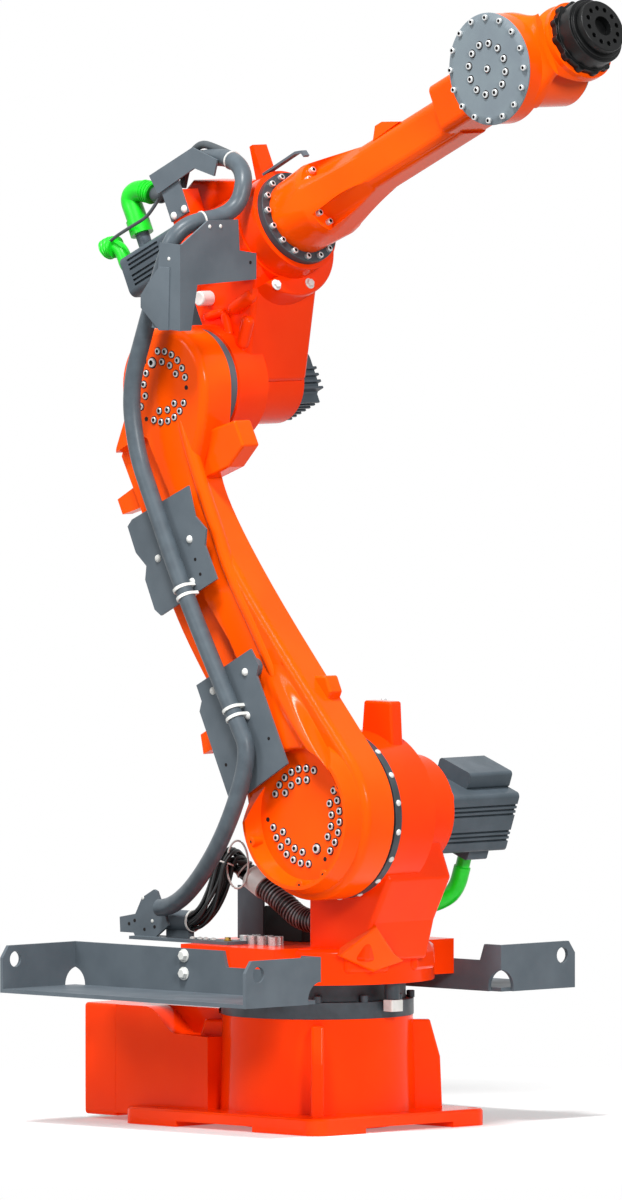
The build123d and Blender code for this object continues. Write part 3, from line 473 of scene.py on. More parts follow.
def modifier(solid: bpy.types.Object, name: str, kind: str, **settings: object) -> None:
    """Adds a modifier.

    Args:
        solid: the object that gets it.
        name: its name.
        kind: its type.
        settings: its properties.
    """
    made = solid.modifiers.new(name, kind)
    for key, value in settings.items():
        setattr(made, key, value)


def show(name: str, data: bpy.types.ID) -> bpy.types.Object:
    """Puts an object in the scene, at the origin.

    Args:
        name: its name.
        data: its mesh, lamp or camera.

    Returns:
        The object.
    """
    made = bpy.data.objects.new(name, data)
    bpy.context.scene.collection.objects.link(made)
    return made


@dataclass(frozen=True)
class Finish:
    """A surface: its colour and a shade that clouds it, its gloss, and the grain that it was made with."""

    name: str
    colour: str
    shade: str
    roughness: float
    patch_mm: float = 120.0
    rough_spread: float = 0.06
    grain_mm: float = 4.0
    grain_deep_mm: float = 0.15
    metallic: float = 0.0
    ior: float = 1.5
    specular: float = 0.5

    def material(self) -> bpy.types.Material:
        """Makes the finish's material once: clouds of colour, patchy gloss and a fine grain.

        Returns:
            The material.
        """
        found = bpy.data.materials.get(self.name)
        if found:
            return found
        made = bpy.data.materials.new(self.name)
        tree = bare(made)
        place = node(tree, "TexCoord").outputs["Object"]
        clouds = node(tree, "TexNoise", {"Vector": place, "Scale": 1 / (self.patch_mm * MM), "Detail": 4.0})
        grain = node(tree, "TexNoise", {"Vector": place, "Scale": 1 / (self.grain_mm * MM), "Detail": 2.0})
        spread = node(tree, "MapRange", {"Value": clouds.outputs[0], "From Min": 0.35, "From Max": 0.65})
        colour = node(tree, "Mix", {0: spread.outputs[0], 6: linear(self.colour), 7: linear(self.shade)},
                      data_type="RGBA")
        gloss = node(tree, "MapRange", {
            "Value": clouds.outputs[0], "From Min": 0.3, "From Max": 0.7,
            "To Min": self.roughness - self.rough_spread, "To Max": self.roughness + self.rough_spread})
        bump = node(tree, "Bump", {
            "Strength": 0.6, "Distance": self.grain_deep_mm * MM, "Height": grain.outputs[0]})
        shader = node(tree, "BsdfPrincipled", {
            "Base Color": colour.outputs[2], "Roughness": gloss.outputs[0], "Normal": bump.outputs[0],
            "Metallic": self.metallic, "IOR": self.ior, "Specular IOR Level": self.specular})
        node(tree, "OutputMaterial", {"Surface": shader.outputs[0]})
        return made


# The numbers after the colours are the roughness, the width of the clouds, the spread of the roughness, and the
# width and depth of the grain. Real orange peel and powder grain are finer than a pixel and are drawn coarser.

# Two-pack gloss enamel sprayed on cast iron: a faint orange peel, and sharp lights on the edges.
ORANGE = Finish("orange_enamel", "#FF5604", "#FC4F03", 0.17, 260.0, 0.03, 9.0, 0.02, specular=0.09)
# The same enamel painted a redder orange over the base, the carousel and the elbow: painted shade, where shade turns
# the orange red.
SHADE_RED_ORANGE = Finish("shade_reddened_enamel", "#FF4004", "#FB3A03", 0.17, 260.0, 0.03, 9.0, 0.02, specular=0.09)
# Machined and oiled iron of the gearbox rings: dark grey with a dull metal shine.
IRON = Finish("oiled_iron", "#3F474D", "#343B40", 0.42, 40.0, 0.08, 2.5, 0.08, metallic=0.15, specular=0.3)
# Burnished steel of the tool flange, its gearbox and the dark boxes: near black with soft lights.
BLACK_STEEL = Finish("burnished_steel", "#0E0F10", "#090A0A", 0.36, 30.0, 0.08, 2.0, 0.06, specular=0.2)
# Powder-coated sheet steel: blue-grey, satin, with a fine even pebble.
SHEET = Finish("powder_coated_sheet", "#5B646B", "#535C63", 0.5, 90.0, 0.05, 1.6, 0.1, specular=0.2)
# Anodised and painted motor housings, a shade bluer and smoother than the sheet.
MOTOR = Finish("motor_lacquer", "#4E5860", "#465057", 0.42, 60.0, 0.06, 2.2, 0.08, specular=0.2)
# Zinc-plated steel screws: bright and slightly blotchy.
ZINC = Finish("zinc_plate", "#D2D4D4", "#BBBEBF", 0.3, 6.0, 0.08, 1.5, 0.03, metallic=0.55)
# Painted shade for the insides of sockets, the rings of counterbores and the discs of holes: matt and almost black.
SOCKET_SHADE = Finish("painted_socket_shade", "#1A1414", "#100C0C", 0.7, 8.0, 0.05, 1.5, 0.03, specular=0.2)
# Extruded synthetic rubber of the dress hose, slate grey with a soft sheen.
HOSE = Finish("extruded_rubber", "#515B62", "#485158", 0.36, 30.0, 0.06, 1.8, 0.06, specular=0.25)
# Polyvinyl cable sheath, near black.
CABLE = Finish("cable_sheath", "#17191B", "#0F1112", 0.4, 20.0, 0.06, 1.5, 0.04, specular=0.4)
# Grey sheathed wire at the elbow: even, with a soft sheen.
WIRE = Finish("grey_wire_sheath", "#4A5054", "#43494D", 0.45, 20.0, 0.05, 1.5, 0.04, specular=0.25)
# Wire of the conduit's spiral, bare steel dulled by oil.
SPIRAL = Finish("spiral_wire", "#8F9496", "#74797B", 0.42, 10.0, 0.08, 1.5, 0.03, metallic=0.4)
# Machined and clear-lacquered cover of the wrist, a paler grey than the sheet.
DISC = Finish("lacquered_cover", "#6E797F", "#687279", 0.4, 70.0, 0.05, 1.6, 0.05, specular=0.25)
# Moulded nylon of clips, ties and pale screw heads: milky white with a soft sheen.
NYLON = Finish("white_nylon", "#D9DAD7", "#CDCECA", 0.45, 20.0, 0.05, 1.8, 0.04, specular=0.4)
# Glass-filled nylon of the plugs: a bright even green with a slight gloss.
GREEN = Finish("green_nylon", "#10D422", "#0CC21D", 0.35, 25.0, 0.05, 1.8, 0.04, specular=0.4)
# Lacquered sheet of the connector panel: a dull dark green with a soft sheen.
PANEL = Finish("panel_lacquer", "#3E6A2E", "#375F29", 0.4, 70.0, 0.05, 1.6, 0.05, specular=0.25)
# Turned brass of the earth screw: a warm yellow metal with soft lights.
BRASS = Finish("brass", "#C9A24A", "#A9843A", 0.32, 8.0, 0.06, 1.5, 0.03, metallic=0.9)

# The record's slots of small pieces, with the finishes that their marks count.
# Mark 1 of a screw or a hole is painted shade: a socket's inside, a counterbore's ring or a hole.
ZINC_CAP = ("dark_iron", ZINC, SOCKET_SHADE)
DARK_CAP = ("dark_iron", IRON, SOCKET_SHADE)
WHITE = ("white_plastic", NYLON)
PAINT = ("orange_paint", ORANGE)
# The redder enamel paints shade into the colour of the elbow's crown and ribs.
SHADE_RED_PAINT = ("orange_paint", SHADE_RED_ORANGE)


def piece(name: str, shape: Patch, body: str, slot: str, *finishes: Finish, replaces: Sequence[str] = (),
          sharp: float = 38.0) -> bpy.types.Object:
    """Makes a piece at the origin and lets it ride on a body.

    Args:
        name: the piece's name.
        shape: its surface in millimetres.
        body: the body that carries it, or an empty name for a piece that rides on no body.
        slot: the record's material slot of the piece; not used.
        finishes: the finishes that its marks count.
        replaces: the CAD nodes that it stands for.
        sharp: the angle in degrees past which an edge stays crisp.

    Returns:
        The object.
    """
    mesh = bpy.data.meshes.new(name)
    mesh.vertices.add(len(shape.points))
    mesh.vertices.foreach_set("co", (shape.points * MM).astype(np.float32).ravel())
    mesh.loops.add(len(shape.corners))
    mesh.loops.foreach_set("vertex_index", shape.corners.astype(np.int32))
    mesh.polygons.add(len(shape.sizes))
    mesh.polygons.foreach_set("loop_start", (np.cumsum(shape.sizes) - shape.sizes).astype(np.int32))
    mesh.polygons.foreach_set("material_index", shape.marks.astype(np.int32))
    mesh.polygons.foreach_set("use_smooth", np.ones(len(shape.sizes), bool))
    mesh.update(calc_edges=True)
    mesh.validate()
    mesh.set_sharp_from_angle(angle=np.radians(sharp))
    for finish in finishes:
        mesh.materials.append(finish.material())
    made = show(name, mesh)
    if body:
        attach(made, body)
    if replaces:
        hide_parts(*replaces)
    LOG.info("%s: %d faces", name, len(shape.sizes))
    return made


class Head(Enum):
    """The heads of the screws on the arm."""

    SOCKET = "cylinder head with a hexagon socket"
    # The dark counterbore is a flat ring of painted shadow round the head.
    SUNK = "cylinder head in a dark counterbore"
    HEX = "hexagon head on a washer"
    DOME = "low round head"
    # An open hole is a flat disc of painted shade.
    HOLE = "open hole"


@dataclass(frozen=True)
class Screw:
    """A screw head: its kind, its radius, its height above the seat, and how far its foot is sunk."""

    kind: Head
    radius: float
    height: float
    foot: float = -0.5
    columns: int = 18

    def patch(self) -> Patch:
        """Turns the head's profile about the upright.

        Returns:
            The head, upright on its seat, with its places of painted shade marked 1.
        """
        r, h = self.radius, self.height
        edge = 0.12 * r
        head = [(r, h - edge), (r - edge, h), (0.56 * r, h), (0.5 * r, h - 0.1 * r), (0.47 * r, 0.3 * h)]
        if self.kind is Head.SOCKET:
            # The socket's walls and floor are marked 1, painted shade.
            return revolve([(r, self.foot), *head], self.columns, [0, 0, 0, 1, 1])
        if self.kind is Head.SUNK:
            # The counterbore is a flat ring round the head marked 1, painted shadow.
            bore = [(1.3 * r, self.foot), (1.3 * r, 0.4), (r, 0.4)]
            return revolve([*bore, *head], self.columns, [1, 1, 0, 0, 0, 1, 1])
        if self.kind is Head.HEX:
            washer = revolve([(1.35 * r, self.foot), (1.35 * r, 0.2 * h), (0.9 * r, 0.25 * h)], self.columns)
            cap = revolve([(r, 0.2 * h), (r, 0.85 * h), (0.86 * r, h)], self.columns, sides=6)
            return join([washer, cap])
        if self.kind is Head.DOME:
            arc = np.radians(np.linspace(0, 78, 6))
            return revolve([(r, self.foot), *zip(r * np.cos(arc), h * np.sin(arc))], self.columns)
        # A hole is a flat disc marked 1, painted shade.
        return revolve([(r, self.foot), (r, h - 0.05), (0.2 * r, h)], self.columns, 1)

    def at(self, places: Array, out: Array) -> Patch:
        """Gives copies of the head on places, each with its upright along the outward direction."""
        return scatter(self.patch(), places, out)

    def on(self, solids: Sequence[str], places: Array, out: Array = -NORTH) -> Patch:
        """Gives copies of the head where places drop onto CAD solids, from the right side if no other is given."""
        return self.at(seat(solids, places, out), out)


@dataclass
class CastingDress:
    """Finishes for the CAD solids, and the small rounding of their edges."""

    weld_mm: float = 0.01
    crisp_deg: float = 28.0
    flat_deg: float = 0.15
    round_deg: float = 34.0
    rounds: dict[Finish, float] = field(default_factory=lambda: {
        ORANGE: 3.0, SHADE_RED_ORANGE: 3.0, IRON: 1.5, BLACK_STEEL: 1.5, SHEET: 0.0, MOTOR: 0.0,
        DISC: 1.2, HOSE: 1.0, CABLE: 1.0, NYLON: 1.0, GREEN: 1.2, PANEL: 1.0})
    by_slot: dict[str, Finish] = field(default_factory=lambda: {
        "orange_paint": ORANGE, "dark_iron": IRON, "black_iron": BLACK_STEEL, "flange_steel": BLACK_STEEL,
        "grey_sheet": SHEET, "motor_grey": MOTOR, "hose_rubber": HOSE, "black_rubber": CABLE,
        "white_plastic": NYLON, "green_plastic": GREEN})
    # The base, the box, the carousel and the elbow take the redder enamel, which paints shade into their colour.
    by_name: dict[str, Finish] = field(default_factory=lambda: {
        "base_casting": SHADE_RED_ORANGE, "rear_box": SHADE_RED_ORANGE, "carousel_casting": SHADE_RED_ORANGE,
        "elbow_casting": SHADE_RED_ORANGE, "wrist_cover": DISC, "wrist_cover_left": DISC,
        "axis_3_gearbox_ring": SHEET, "axis_3_output": SHEET, "connector_panel": PANEL})

    def dress(self) -> None:
        """Gives every CAD node its finish, smooth faces, and softly rounded or crisp edges."""
        slots = {row["node"]: row["material_slot"] for row in frame["record"]["subparts"]}
        for name, solid in frame["nodes"].items():
            finish = self.by_name.get(name, self.by_slot[slots[name]])
            solid.data.materials.clear()
            solid.data.materials.append(finish.material())
            self.soften(solid, self.rounds[finish])

    def soften(self, solid: bpy.types.Object, width: float) -> None:
        """Rounds a solid's sharp edges, or keeps them crisp.

        Args:
            solid: the CAD node's object.
            width: the rounding in millimetres, where 0 keeps the edges crisp.
        """
        solid.data.polygons.foreach_set("use_smooth", np.ones(len(solid.data.polygons), bool))
        modifier(solid, "weld", "WELD", merge_threshold=self.weld_mm * MM)
        if not width:
            modifier(solid, "crisp", "EDGE_SPLIT", split_angle=np.radians(self.crisp_deg))
            return
        modifier(solid, "flat", "DECIMATE", decimate_type="DISSOLVE", angle_limit=np.radians(self.flat_deg))
        modifier(solid, "edge", "BEVEL", width=width * MM, segments=2, limit_method="ANGLE",
                 angle_limit=np.radians(self.round_deg), loop_slide=False)
        modifier(solid, "normal", "WEIGHTED_NORMAL", keep_sharp=True)


@dataclass
class DressHose:
    """The slate grey hose from the stand on the deck, up the arm, round the elbow and under the roof."""

    radius: float = 22.0
    step: float = 6.0
    clip_low: Array = field(default_factory=lambda: limb(0.2454, -65.5, HOSE_Y))
    clip_high: Array = field(default_factory=lambda: limb(0.5734, -97.3, HOSE_Y))
    arm_end: Array = field(default_factory=lambda: limb(0.7878, -97.1, HOSE_Y))
    cover: Array = field(default_factory=lambda: elbow(7.7, 156.0, HOSE_Y))

    def route(self) -> list[Sequence[float]]:
        """Lays out the hose's line, the same as the CAD's, with straight leads into the clips and the cover.

        Returns:
            The control points from the stand to the roof.
        """
        low, high = unit(self.clip_high - self.clip_low), unit(self.arm_end - self.clip_high)
        top = unit(np.array([62.0, 0.0, 163.0]))
        return [
            (-292.0, -270.0, 545.0), (-225.0, -270.0, 545.0), (34.0, -372.0, 722.0),
            self.clip_low - 96 * low, self.clip_low, self.clip_high, self.arm_end, self.arm_end + 110 * high,
            self.cover - 175 * top, self.cover, self.cover + 150 * top,
            elbow(99, 411, -330), elbow(139, 430, -168), elbow(152, 530, -138), elbow(48, 578, -98),
            elbow(-48, 566, -82),
        ]

    def build(self) -> None:
        """Makes the four stretches, held at the clips and lying across axis 2 and axis 3, and two ties."""
        path = spline(self.route(), self.step)
        cuts = [0, *(nearest(path, p) for p in (self.clip_low, self.arm_end, self.cover)), len(path) - 1]
        rows = [("hose_over_axis_2", "", "hose_base_span"), ("hose_along_arm", "lower_arm", "hose_arm_run"),
                ("hose_over_axis_3", "", "hose_elbow_span"), ("hose_over_elbow", "elbow", "hose_loop")]
        for (name, body, stands_for), start, end in zip(rows, cuts[:-1], cuts[1:]):
            made = piece(name, carry(path[start:end + 1], self.radius, 28), body, "hose_rubber", HOSE,
                         replaces=[stands_for])
            if name == "hose_over_axis_2":
                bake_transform(made)
            if name == "hose_over_axis_3":
                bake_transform(made)
        spots = [nearest(path, elbow(118, 420, -260)), nearest(path, elbow(70, 572, -105))]
        piece("hose_ties", ties(path, spots, hoop(21.5, 24.5, 2.2)), "elbow", *WHITE)


@dataclass
class CableRun:
    """The bundle of thin cables from the hose stand, its ties, and the ribbed conduit into the column."""

    strands: int = 15
    strand_r: float = 5.0
    bundle_r: float = 19.0
    seed: int = 7
    conduit_r: float = 30.0
    conduit_step: float = 1.6
    rib_mm: float = 11.0
    rib_deep: float = 2.2
    collar: Array = field(default_factory=lambda: np.array([-120.0, -110.0, 624.0]))
    collar_end: Array = field(default_factory=lambda: np.array([-74.0, -110.0, 599.0]))
    loop: Array = field(default_factory=lambda: np.array([-124.0, -160.0, 656.0]))

    def bundle(self) -> Patch:
        """Winds strands loosely round the bundle's line, each at its own place and with its own slow turn.

        Returns:
            The strands, two ties and the oval loop of a third, with the ties marked 1.
        """
        run = unit(self.collar_end - self.collar)
        path = spline([(-232.0, -216.0, 512.0), (-194.0, -216.0, 512.0), (-166.0, -182.0, 602.0),
                       self.collar + (-34.0, -60.0, 66.0), self.collar - 46 * run, self.collar], 5.0)
        side, over = axes(path)
        share = np.linspace(0, 1, len(path))
        draw = np.random.default_rng(self.seed)
        made = []
        for strand in range(self.strands):
            start = 2 * np.pi * strand / self.strands
            reach = self.bundle_r * (0.45 if strand % 3 == 0 else 1.0)
            angle = start + draw.uniform(-0.9, 0.9) * share + 0.35 * np.sin(2 * np.pi * share + draw.uniform(0, 6))
            loose = reach * (1 + 0.28 * np.sin(np.pi * share) * draw.uniform(0.2, 1.0))
            line = path + (loose * np.cos(angle))[:, None] * side + (loose * np.sin(angle))[:, None] * over
            made.append(carry(line, self.strand_r, 10))
        spots = (np.array([0.62, 0.9]) * (len(path) - 1)).astype(int)
        made.append(ties(path, spots, hoop(24.5, 26.5, 2.0, 24, 1)))
        turn = np.linspace(0, 2 * np.pi, 64, endpoint=False)[:, None]
        oval = self.loop + 27 * np.cos(turn) * unit(EAST + NORTH) + 60 * np.sin(turn) * UP
        made.append(carry(oval, 2.6, 8, 1, ring=True))
        return join(made)

    def conduit(self) -> Patch:
        """Carries a circle with round ribs along the conduit: the radius swings by a cosine of the running length.

        Returns:
            The conduit, with the crests of its ribs marked 1.
        """
        run = unit(self.collar_end - self.collar)
        path = spline([self.collar_end, self.collar_end + 70 * run, (56.0, -110.0, 520.0), (116.0, -110.0, 520.0)],
                      self.conduit_step)
        swing = np.cos(2 * np.pi * self.conduit_step * np.arange(len(path)) / self.rib_mm)
        radius = self.conduit_r - self.rib_deep + self.rib_deep * swing
        return carry(path, radius, 24, (swing[:-1] > 0.75).astype(int))

    def build(self) -> None:
        """Makes the bundle and the conduit in place of their plain solids."""
        piece("cable_strands", self.bundle(), "carousel", "black_rubber", CABLE, NYLON, replaces=["cable_bundle"])
        piece("ribbed_conduit", self.conduit(), "carousel", "black_rubber", CABLE, SPIRAL,
              replaces=["cable_conduit"])


@dataclass
class BaseFittings:
    """The screws of the slew ring on the foot, and the screws and sockets of the panel behind.

    Each row of a socket is its middle across and up, half its width and half its height.
    """

    ring_top: float = 322.0
    ring_r: float = 233.5
    panel_x: float = -597.0
    socket_deep: float = 25.0
    socket_rows: Rows = ((-105, 196, 66, 27), (-105, 116, 66, 27), (100, 168, 46, 46), (100, 76, 46, 22))

    def sockets(self) -> Patch:
        """Raises the sockets for power, signals and air from the panel as blocks with rounded edges.

        Returns:
            The blocks.
        """
        made = []
        for y, z, half, tall in self.socket_rows:
            corners = ((-half, -tall), (-half, tall), (half, tall), (half, -tall))
            foot = np.array([(self.panel_x + 1, y + across, z + up) for across, up in corners], float)
            made.append(block(foot, -EAST, self.socket_deep, 3.0))
        return join(made)

    def build(self) -> None:
        """Makes the dark cap screws on the slew ring, and the panel's screws and sockets."""
        edge = np.array([(self.panel_x, y, z) for y in (-214, 0, 214) for z in (36, 266)], float)
        piece("panel_screws", Screw(Head.SOCKET, 7.5, 6.0).at(edge, -EAST), "base", *ZINC_CAP)
        piece("panel_sockets", self.sockets(), "base", "dark_iron", BLACK_STEEL)
        places = around(self.ring_top * UP, EAST, NORTH, self.ring_r, np.arange(-45, 315, 30))
        piece("slew_ring_screws", Screw(Head.SOCKET, 10.5, 17.0).at(places, UP), "base", *DARK_CAP)


@dataclass
class CarouselFittings:
    """The column's lug, axis 2's plug, and the screws, holes and ties of the deck, brackets and hose stand."""

    deck_z: float = 480.0
    strip_y: float = -240.0
    stand_y: float = -260.0
    ring_y: float = -172.0
    ring_r: float = 211.0
    lug_deep: float = 48.0
    lug: Rows = ((239, -172, 446), (283, -93, 404), (294, 5, 428), (322, -56, 451), (342, -142, 525))
    plug: Rows = ((232, 295, 684), (219, 295, 642), (204, 292, 594), (186, 274, 564), (164, 248, 553))
    plug_step: float = 2.0
    sleeve: Array = field(default_factory=lambda: np.array([-226.0, -216.0, 512.0]))

    def build(self) -> None:
        """Makes the lug and the plug, the deck's cap screws, and the ring's, bracket's, stand's and post's heads."""
        z, strip_y, stand_y = self.deck_z, self.strip_y, self.stand_y
        stand, floor = ["hose_stand"], ["hose_stand", "carousel_casting"]
        lift = unit(np.array([0.87, -0.48, -0.1]))
        lug = np.array(self.lug) - self.lug_deep / 2 * lift
        piece("column_lug", block(lug, lift, self.lug_deep, 10.0), "carousel", *PAINT)
        route = spline(self.plug, self.plug_step)
        width = np.where(self.plug_step * np.arange(len(route)) < 40, 18.0, 21.5)
        piece("axis_2_plug_body", carry(route, width, 24), "carousel", "green_plastic", GREEN,
              replaces=["axis_2_plug"])
        deck = np.array([(x, -200.0, z) for x in (-59, -31, 2, 42)] + [(x, -172.0, z) for x in (-45, 0, 34)])
        piece("deck_screws", Screw(Head.SOCKET, 12.0, 22.0).on([*floor, "cable_box"], deck, UP),
              "carousel", *ZINC_CAP)
        web = np.array([(-143.0, -340.0, height) for height in (434.0, 389.0)])
        piece("bracket_screws", Screw(Head.HEX, 12.5, 12.0).on(["fork_bracket_right"], web),
              "carousel", *WHITE)
        middle = AXIS_2 + self.ring_y * NORTH
        ring = around(middle, EAST, UP, self.ring_r, np.arange(10, 370, 20))
        piece("axis_2_ring_screws", Screw(Head.DOME, 8.0, 4.0).at(ring, ring - middle), "carousel", *WHITE)
        strip = np.array([(x, strip_y, z) for x in (-204, -177, -156, -130)])
        rivets = np.array([(-371.0, stand_y, 565.0), (-337.0, stand_y, 508.0)])
        piece("stand_screws", join([
            Screw(Head.DOME, 7.5, 6.0).on(floor, strip, UP),
            Screw(Head.DOME, 5.0, 2.0).on(stand, rivets)]), "carousel", *WHITE)
        spots = ((-400.0, 507.0), (-365.0, 486.0), (-329.0, 494.0), (-420.0, 498.0))
        holes = np.array([(x, stand_y, height) for x, height in spots])
        # The holes are flat dark discs of painted shade.
        piece("stand_holes", Screw(Head.HOLE, 4.5, 0.4).on(stand, holes), "carousel", *DARK_CAP)
        post, earth = np.array([250.0, -15.0, 1070.0]), np.array([-78.0, strip_y, z])
        piece("post_screw", Screw(Head.HEX, 8.0, 12.0).on(["carousel_casting"], post, UP), "carousel",
              "dark_iron", ZINC)
        piece("earth_screw", Screw(Head.HEX, 8.0, 9.0).on(floor, earth, UP), "carousel", "dark_iron", BRASS)
        piece("sleeve_tie", scatter(hoop(25.5, 28.0, 2.5), self.sleeve, EAST), "carousel", *WHITE)


@dataclass
class ArmFittings:
    """The beam's swelling and rib, the screws of both gearbox flanges, the dish's lugs and the plates' screws."""

    seat_y: float = -290.0
    plate_y: float = -330.0
    rim_r: float = 172.0
    brow_r: float = 170.0
    brow_high: float = 43.0
    brow_end: float = 0.40
    rib_r: float = 18.0
    rib_line: Rows = ((-206, 1785), (-138, 1626), (-72, 1491), (-32, 1402), (73, 1246), (150, 1118), (196, 1040))

    def rib(self) -> Patch:
        """Carries a circle down the beam, sunk so that a low ridge stands out and fades at its ends.

        Returns:
            The rib; its sinking grows by the sixth power of the share of the way from its middle.
        """
        line = spline([(x, self.seat_y, z) for x, z in self.rib_line], 8.0)
        share = np.linspace(-1, 1, len(line))[:, None]
        return carry(line + (11.0 + 8.0 * share ** 6) * NORTH, self.rib_r, 32)

    def brow(self) -> Patch:
        """Lofts the swelling of the beam that overhangs the dish.

        Its foot is an arc of the dish's wall. From there it runs up the beam between two lines, while
        its height eases down along the beam and towards its front edge.

        Returns:
            The swelling, closed behind the beam's face.
        """
        across = np.linspace(0, 1, 44)
        along = np.concatenate([[0, 0, 0.006, 0.018, 0.035], np.linspace(0.06, 1, 30)])
        lip = np.concatenate([[-0.2, 0.8, 0.93, 0.985, 1.0], np.ones(30)])
        foot = around(AXIS_2, EAST, UP, self.brow_r, 27 + 84 * across)
        start, end = limb(self.brow_end, 70.0, 0.0), limb(self.brow_end, -60.0, 0.0)
        far = start + across[:, None] * (end - start)
        line = foot[:, None] + along[None, :, None] * (far - foot)[:, None]
        front = 1 - (1 - smooth(across / 0.34))[:, None] * smooth(along / 0.16)[None]
        front = front * (1 - 0.45 * smooth((across - 0.5) / 0.25))[:, None]
        high = self.brow_high * lip * (1 - 1.12 * smooth(along)) * front
        top = line + (self.seat_y - high)[..., None] * NORTH
        low = line[:, ::-1] + (self.seat_y + 9.0) * NORTH
        return loft(np.concatenate([top, low[:, ::8]], axis=1))

    def build(self) -> None:
        """Makes the flange screws in their groups, the holes, the rib, the swelling, the lugs and plate screws."""
        low, high = AXIS_2 + self.seat_y * NORTH, AXIS_3 + self.seat_y * NORTH
        thirds = (115.4, -4.6, -124.6)
        casting, plates = ["lower_arm_casting"], ["hose_plate_upper", "hose_plate_lower"]
        dish = np.concatenate([
            around(low, EAST, UP, 119.5, groups(thirds, 13.1, 7)),
            around(low, EAST, UP, 91.2, groups(thirds, 18.2, 4))])
        boss = np.concatenate([
            around(high, EAST, UP, 89.0, groups((57.4, -66.3, 176.0), 16.2, 6)),
            around(high, EAST, UP, 62.0, groups((60.0, -68.6, 177.0), 27.5, 3))])
        large = np.concatenate([around(low, EAST, UP, 88.7, [-64.5]), around(high, EAST, UP, 66.7, [118.5])])
        # The sunk heads sit in flat rings of painted shadow in place of counterbores.
        piece("arm_flange_screws", join([
            Screw(Head.SUNK, 8.6, 4.5).on(casting, dish),
            Screw(Head.SUNK, 8.0, 4.0).on(casting, boss),
            Screw(Head.SUNK, 11.5, 6.0).on(casting, large)]), "lower_arm", *ZINC_CAP)
        holes = np.concatenate([around(low, EAST, UP, 136.0, [-174.0]), around(low, EAST, UP, 124.0, [-57.5]),
                                around(high, EAST, UP, 88.7, [0.0]), around(high, EAST, UP, 99.0, [-122.6])])
        spots = ((0.6148, -45.3), (0.5802, -45.0), (0.1823, -2.4), (0.1835, -170.2))
        plate_holes = np.array([limb(*spot, self.plate_y) for spot in spots])
        lugs = seat(casting, around(low, EAST, UP, self.rim_r, (-156, -85, -55, 28)), -NORTH)
        # The holes are flat dark discs of painted shade.
        piece("arm_holes", join([
            Screw(Head.HOLE, 6.0, 0.4).on(casting, holes),
            Screw(Head.HOLE, 4.5, 0.4).at(lugs - 2.2 * NORTH, -NORTH),
            Screw(Head.HOLE, 4.5, 0.4).on(plates, plate_holes)]), "lower_arm", *DARK_CAP)
        piece("beam_rib", self.rib(), "lower_arm", *PAINT, sharp=60.0)
        piece("beam_brow", self.brow(), "lower_arm", *PAINT, sharp=60.0)
        lug = revolve([(13, -30), (13, 0.5), (11.5, 2.0), (4, 2.2)], 24)
        piece("rim_lugs", scatter(lug, lugs, -NORTH), "lower_arm", *PAINT)
        spots = ((0.6602, -41.3), (0.6619, -164.7), (0.3381, -6.6), (0.341, -131.4), (0.5755, -79.5), (0.2518, -46.7))
        bolts = np.array([limb(*spot, self.plate_y) for spot in spots])
        piece("plate_screws", Screw(Head.DOME, 10.0, 7.0).on(plates, bolts), "lower_arm", *WHITE)


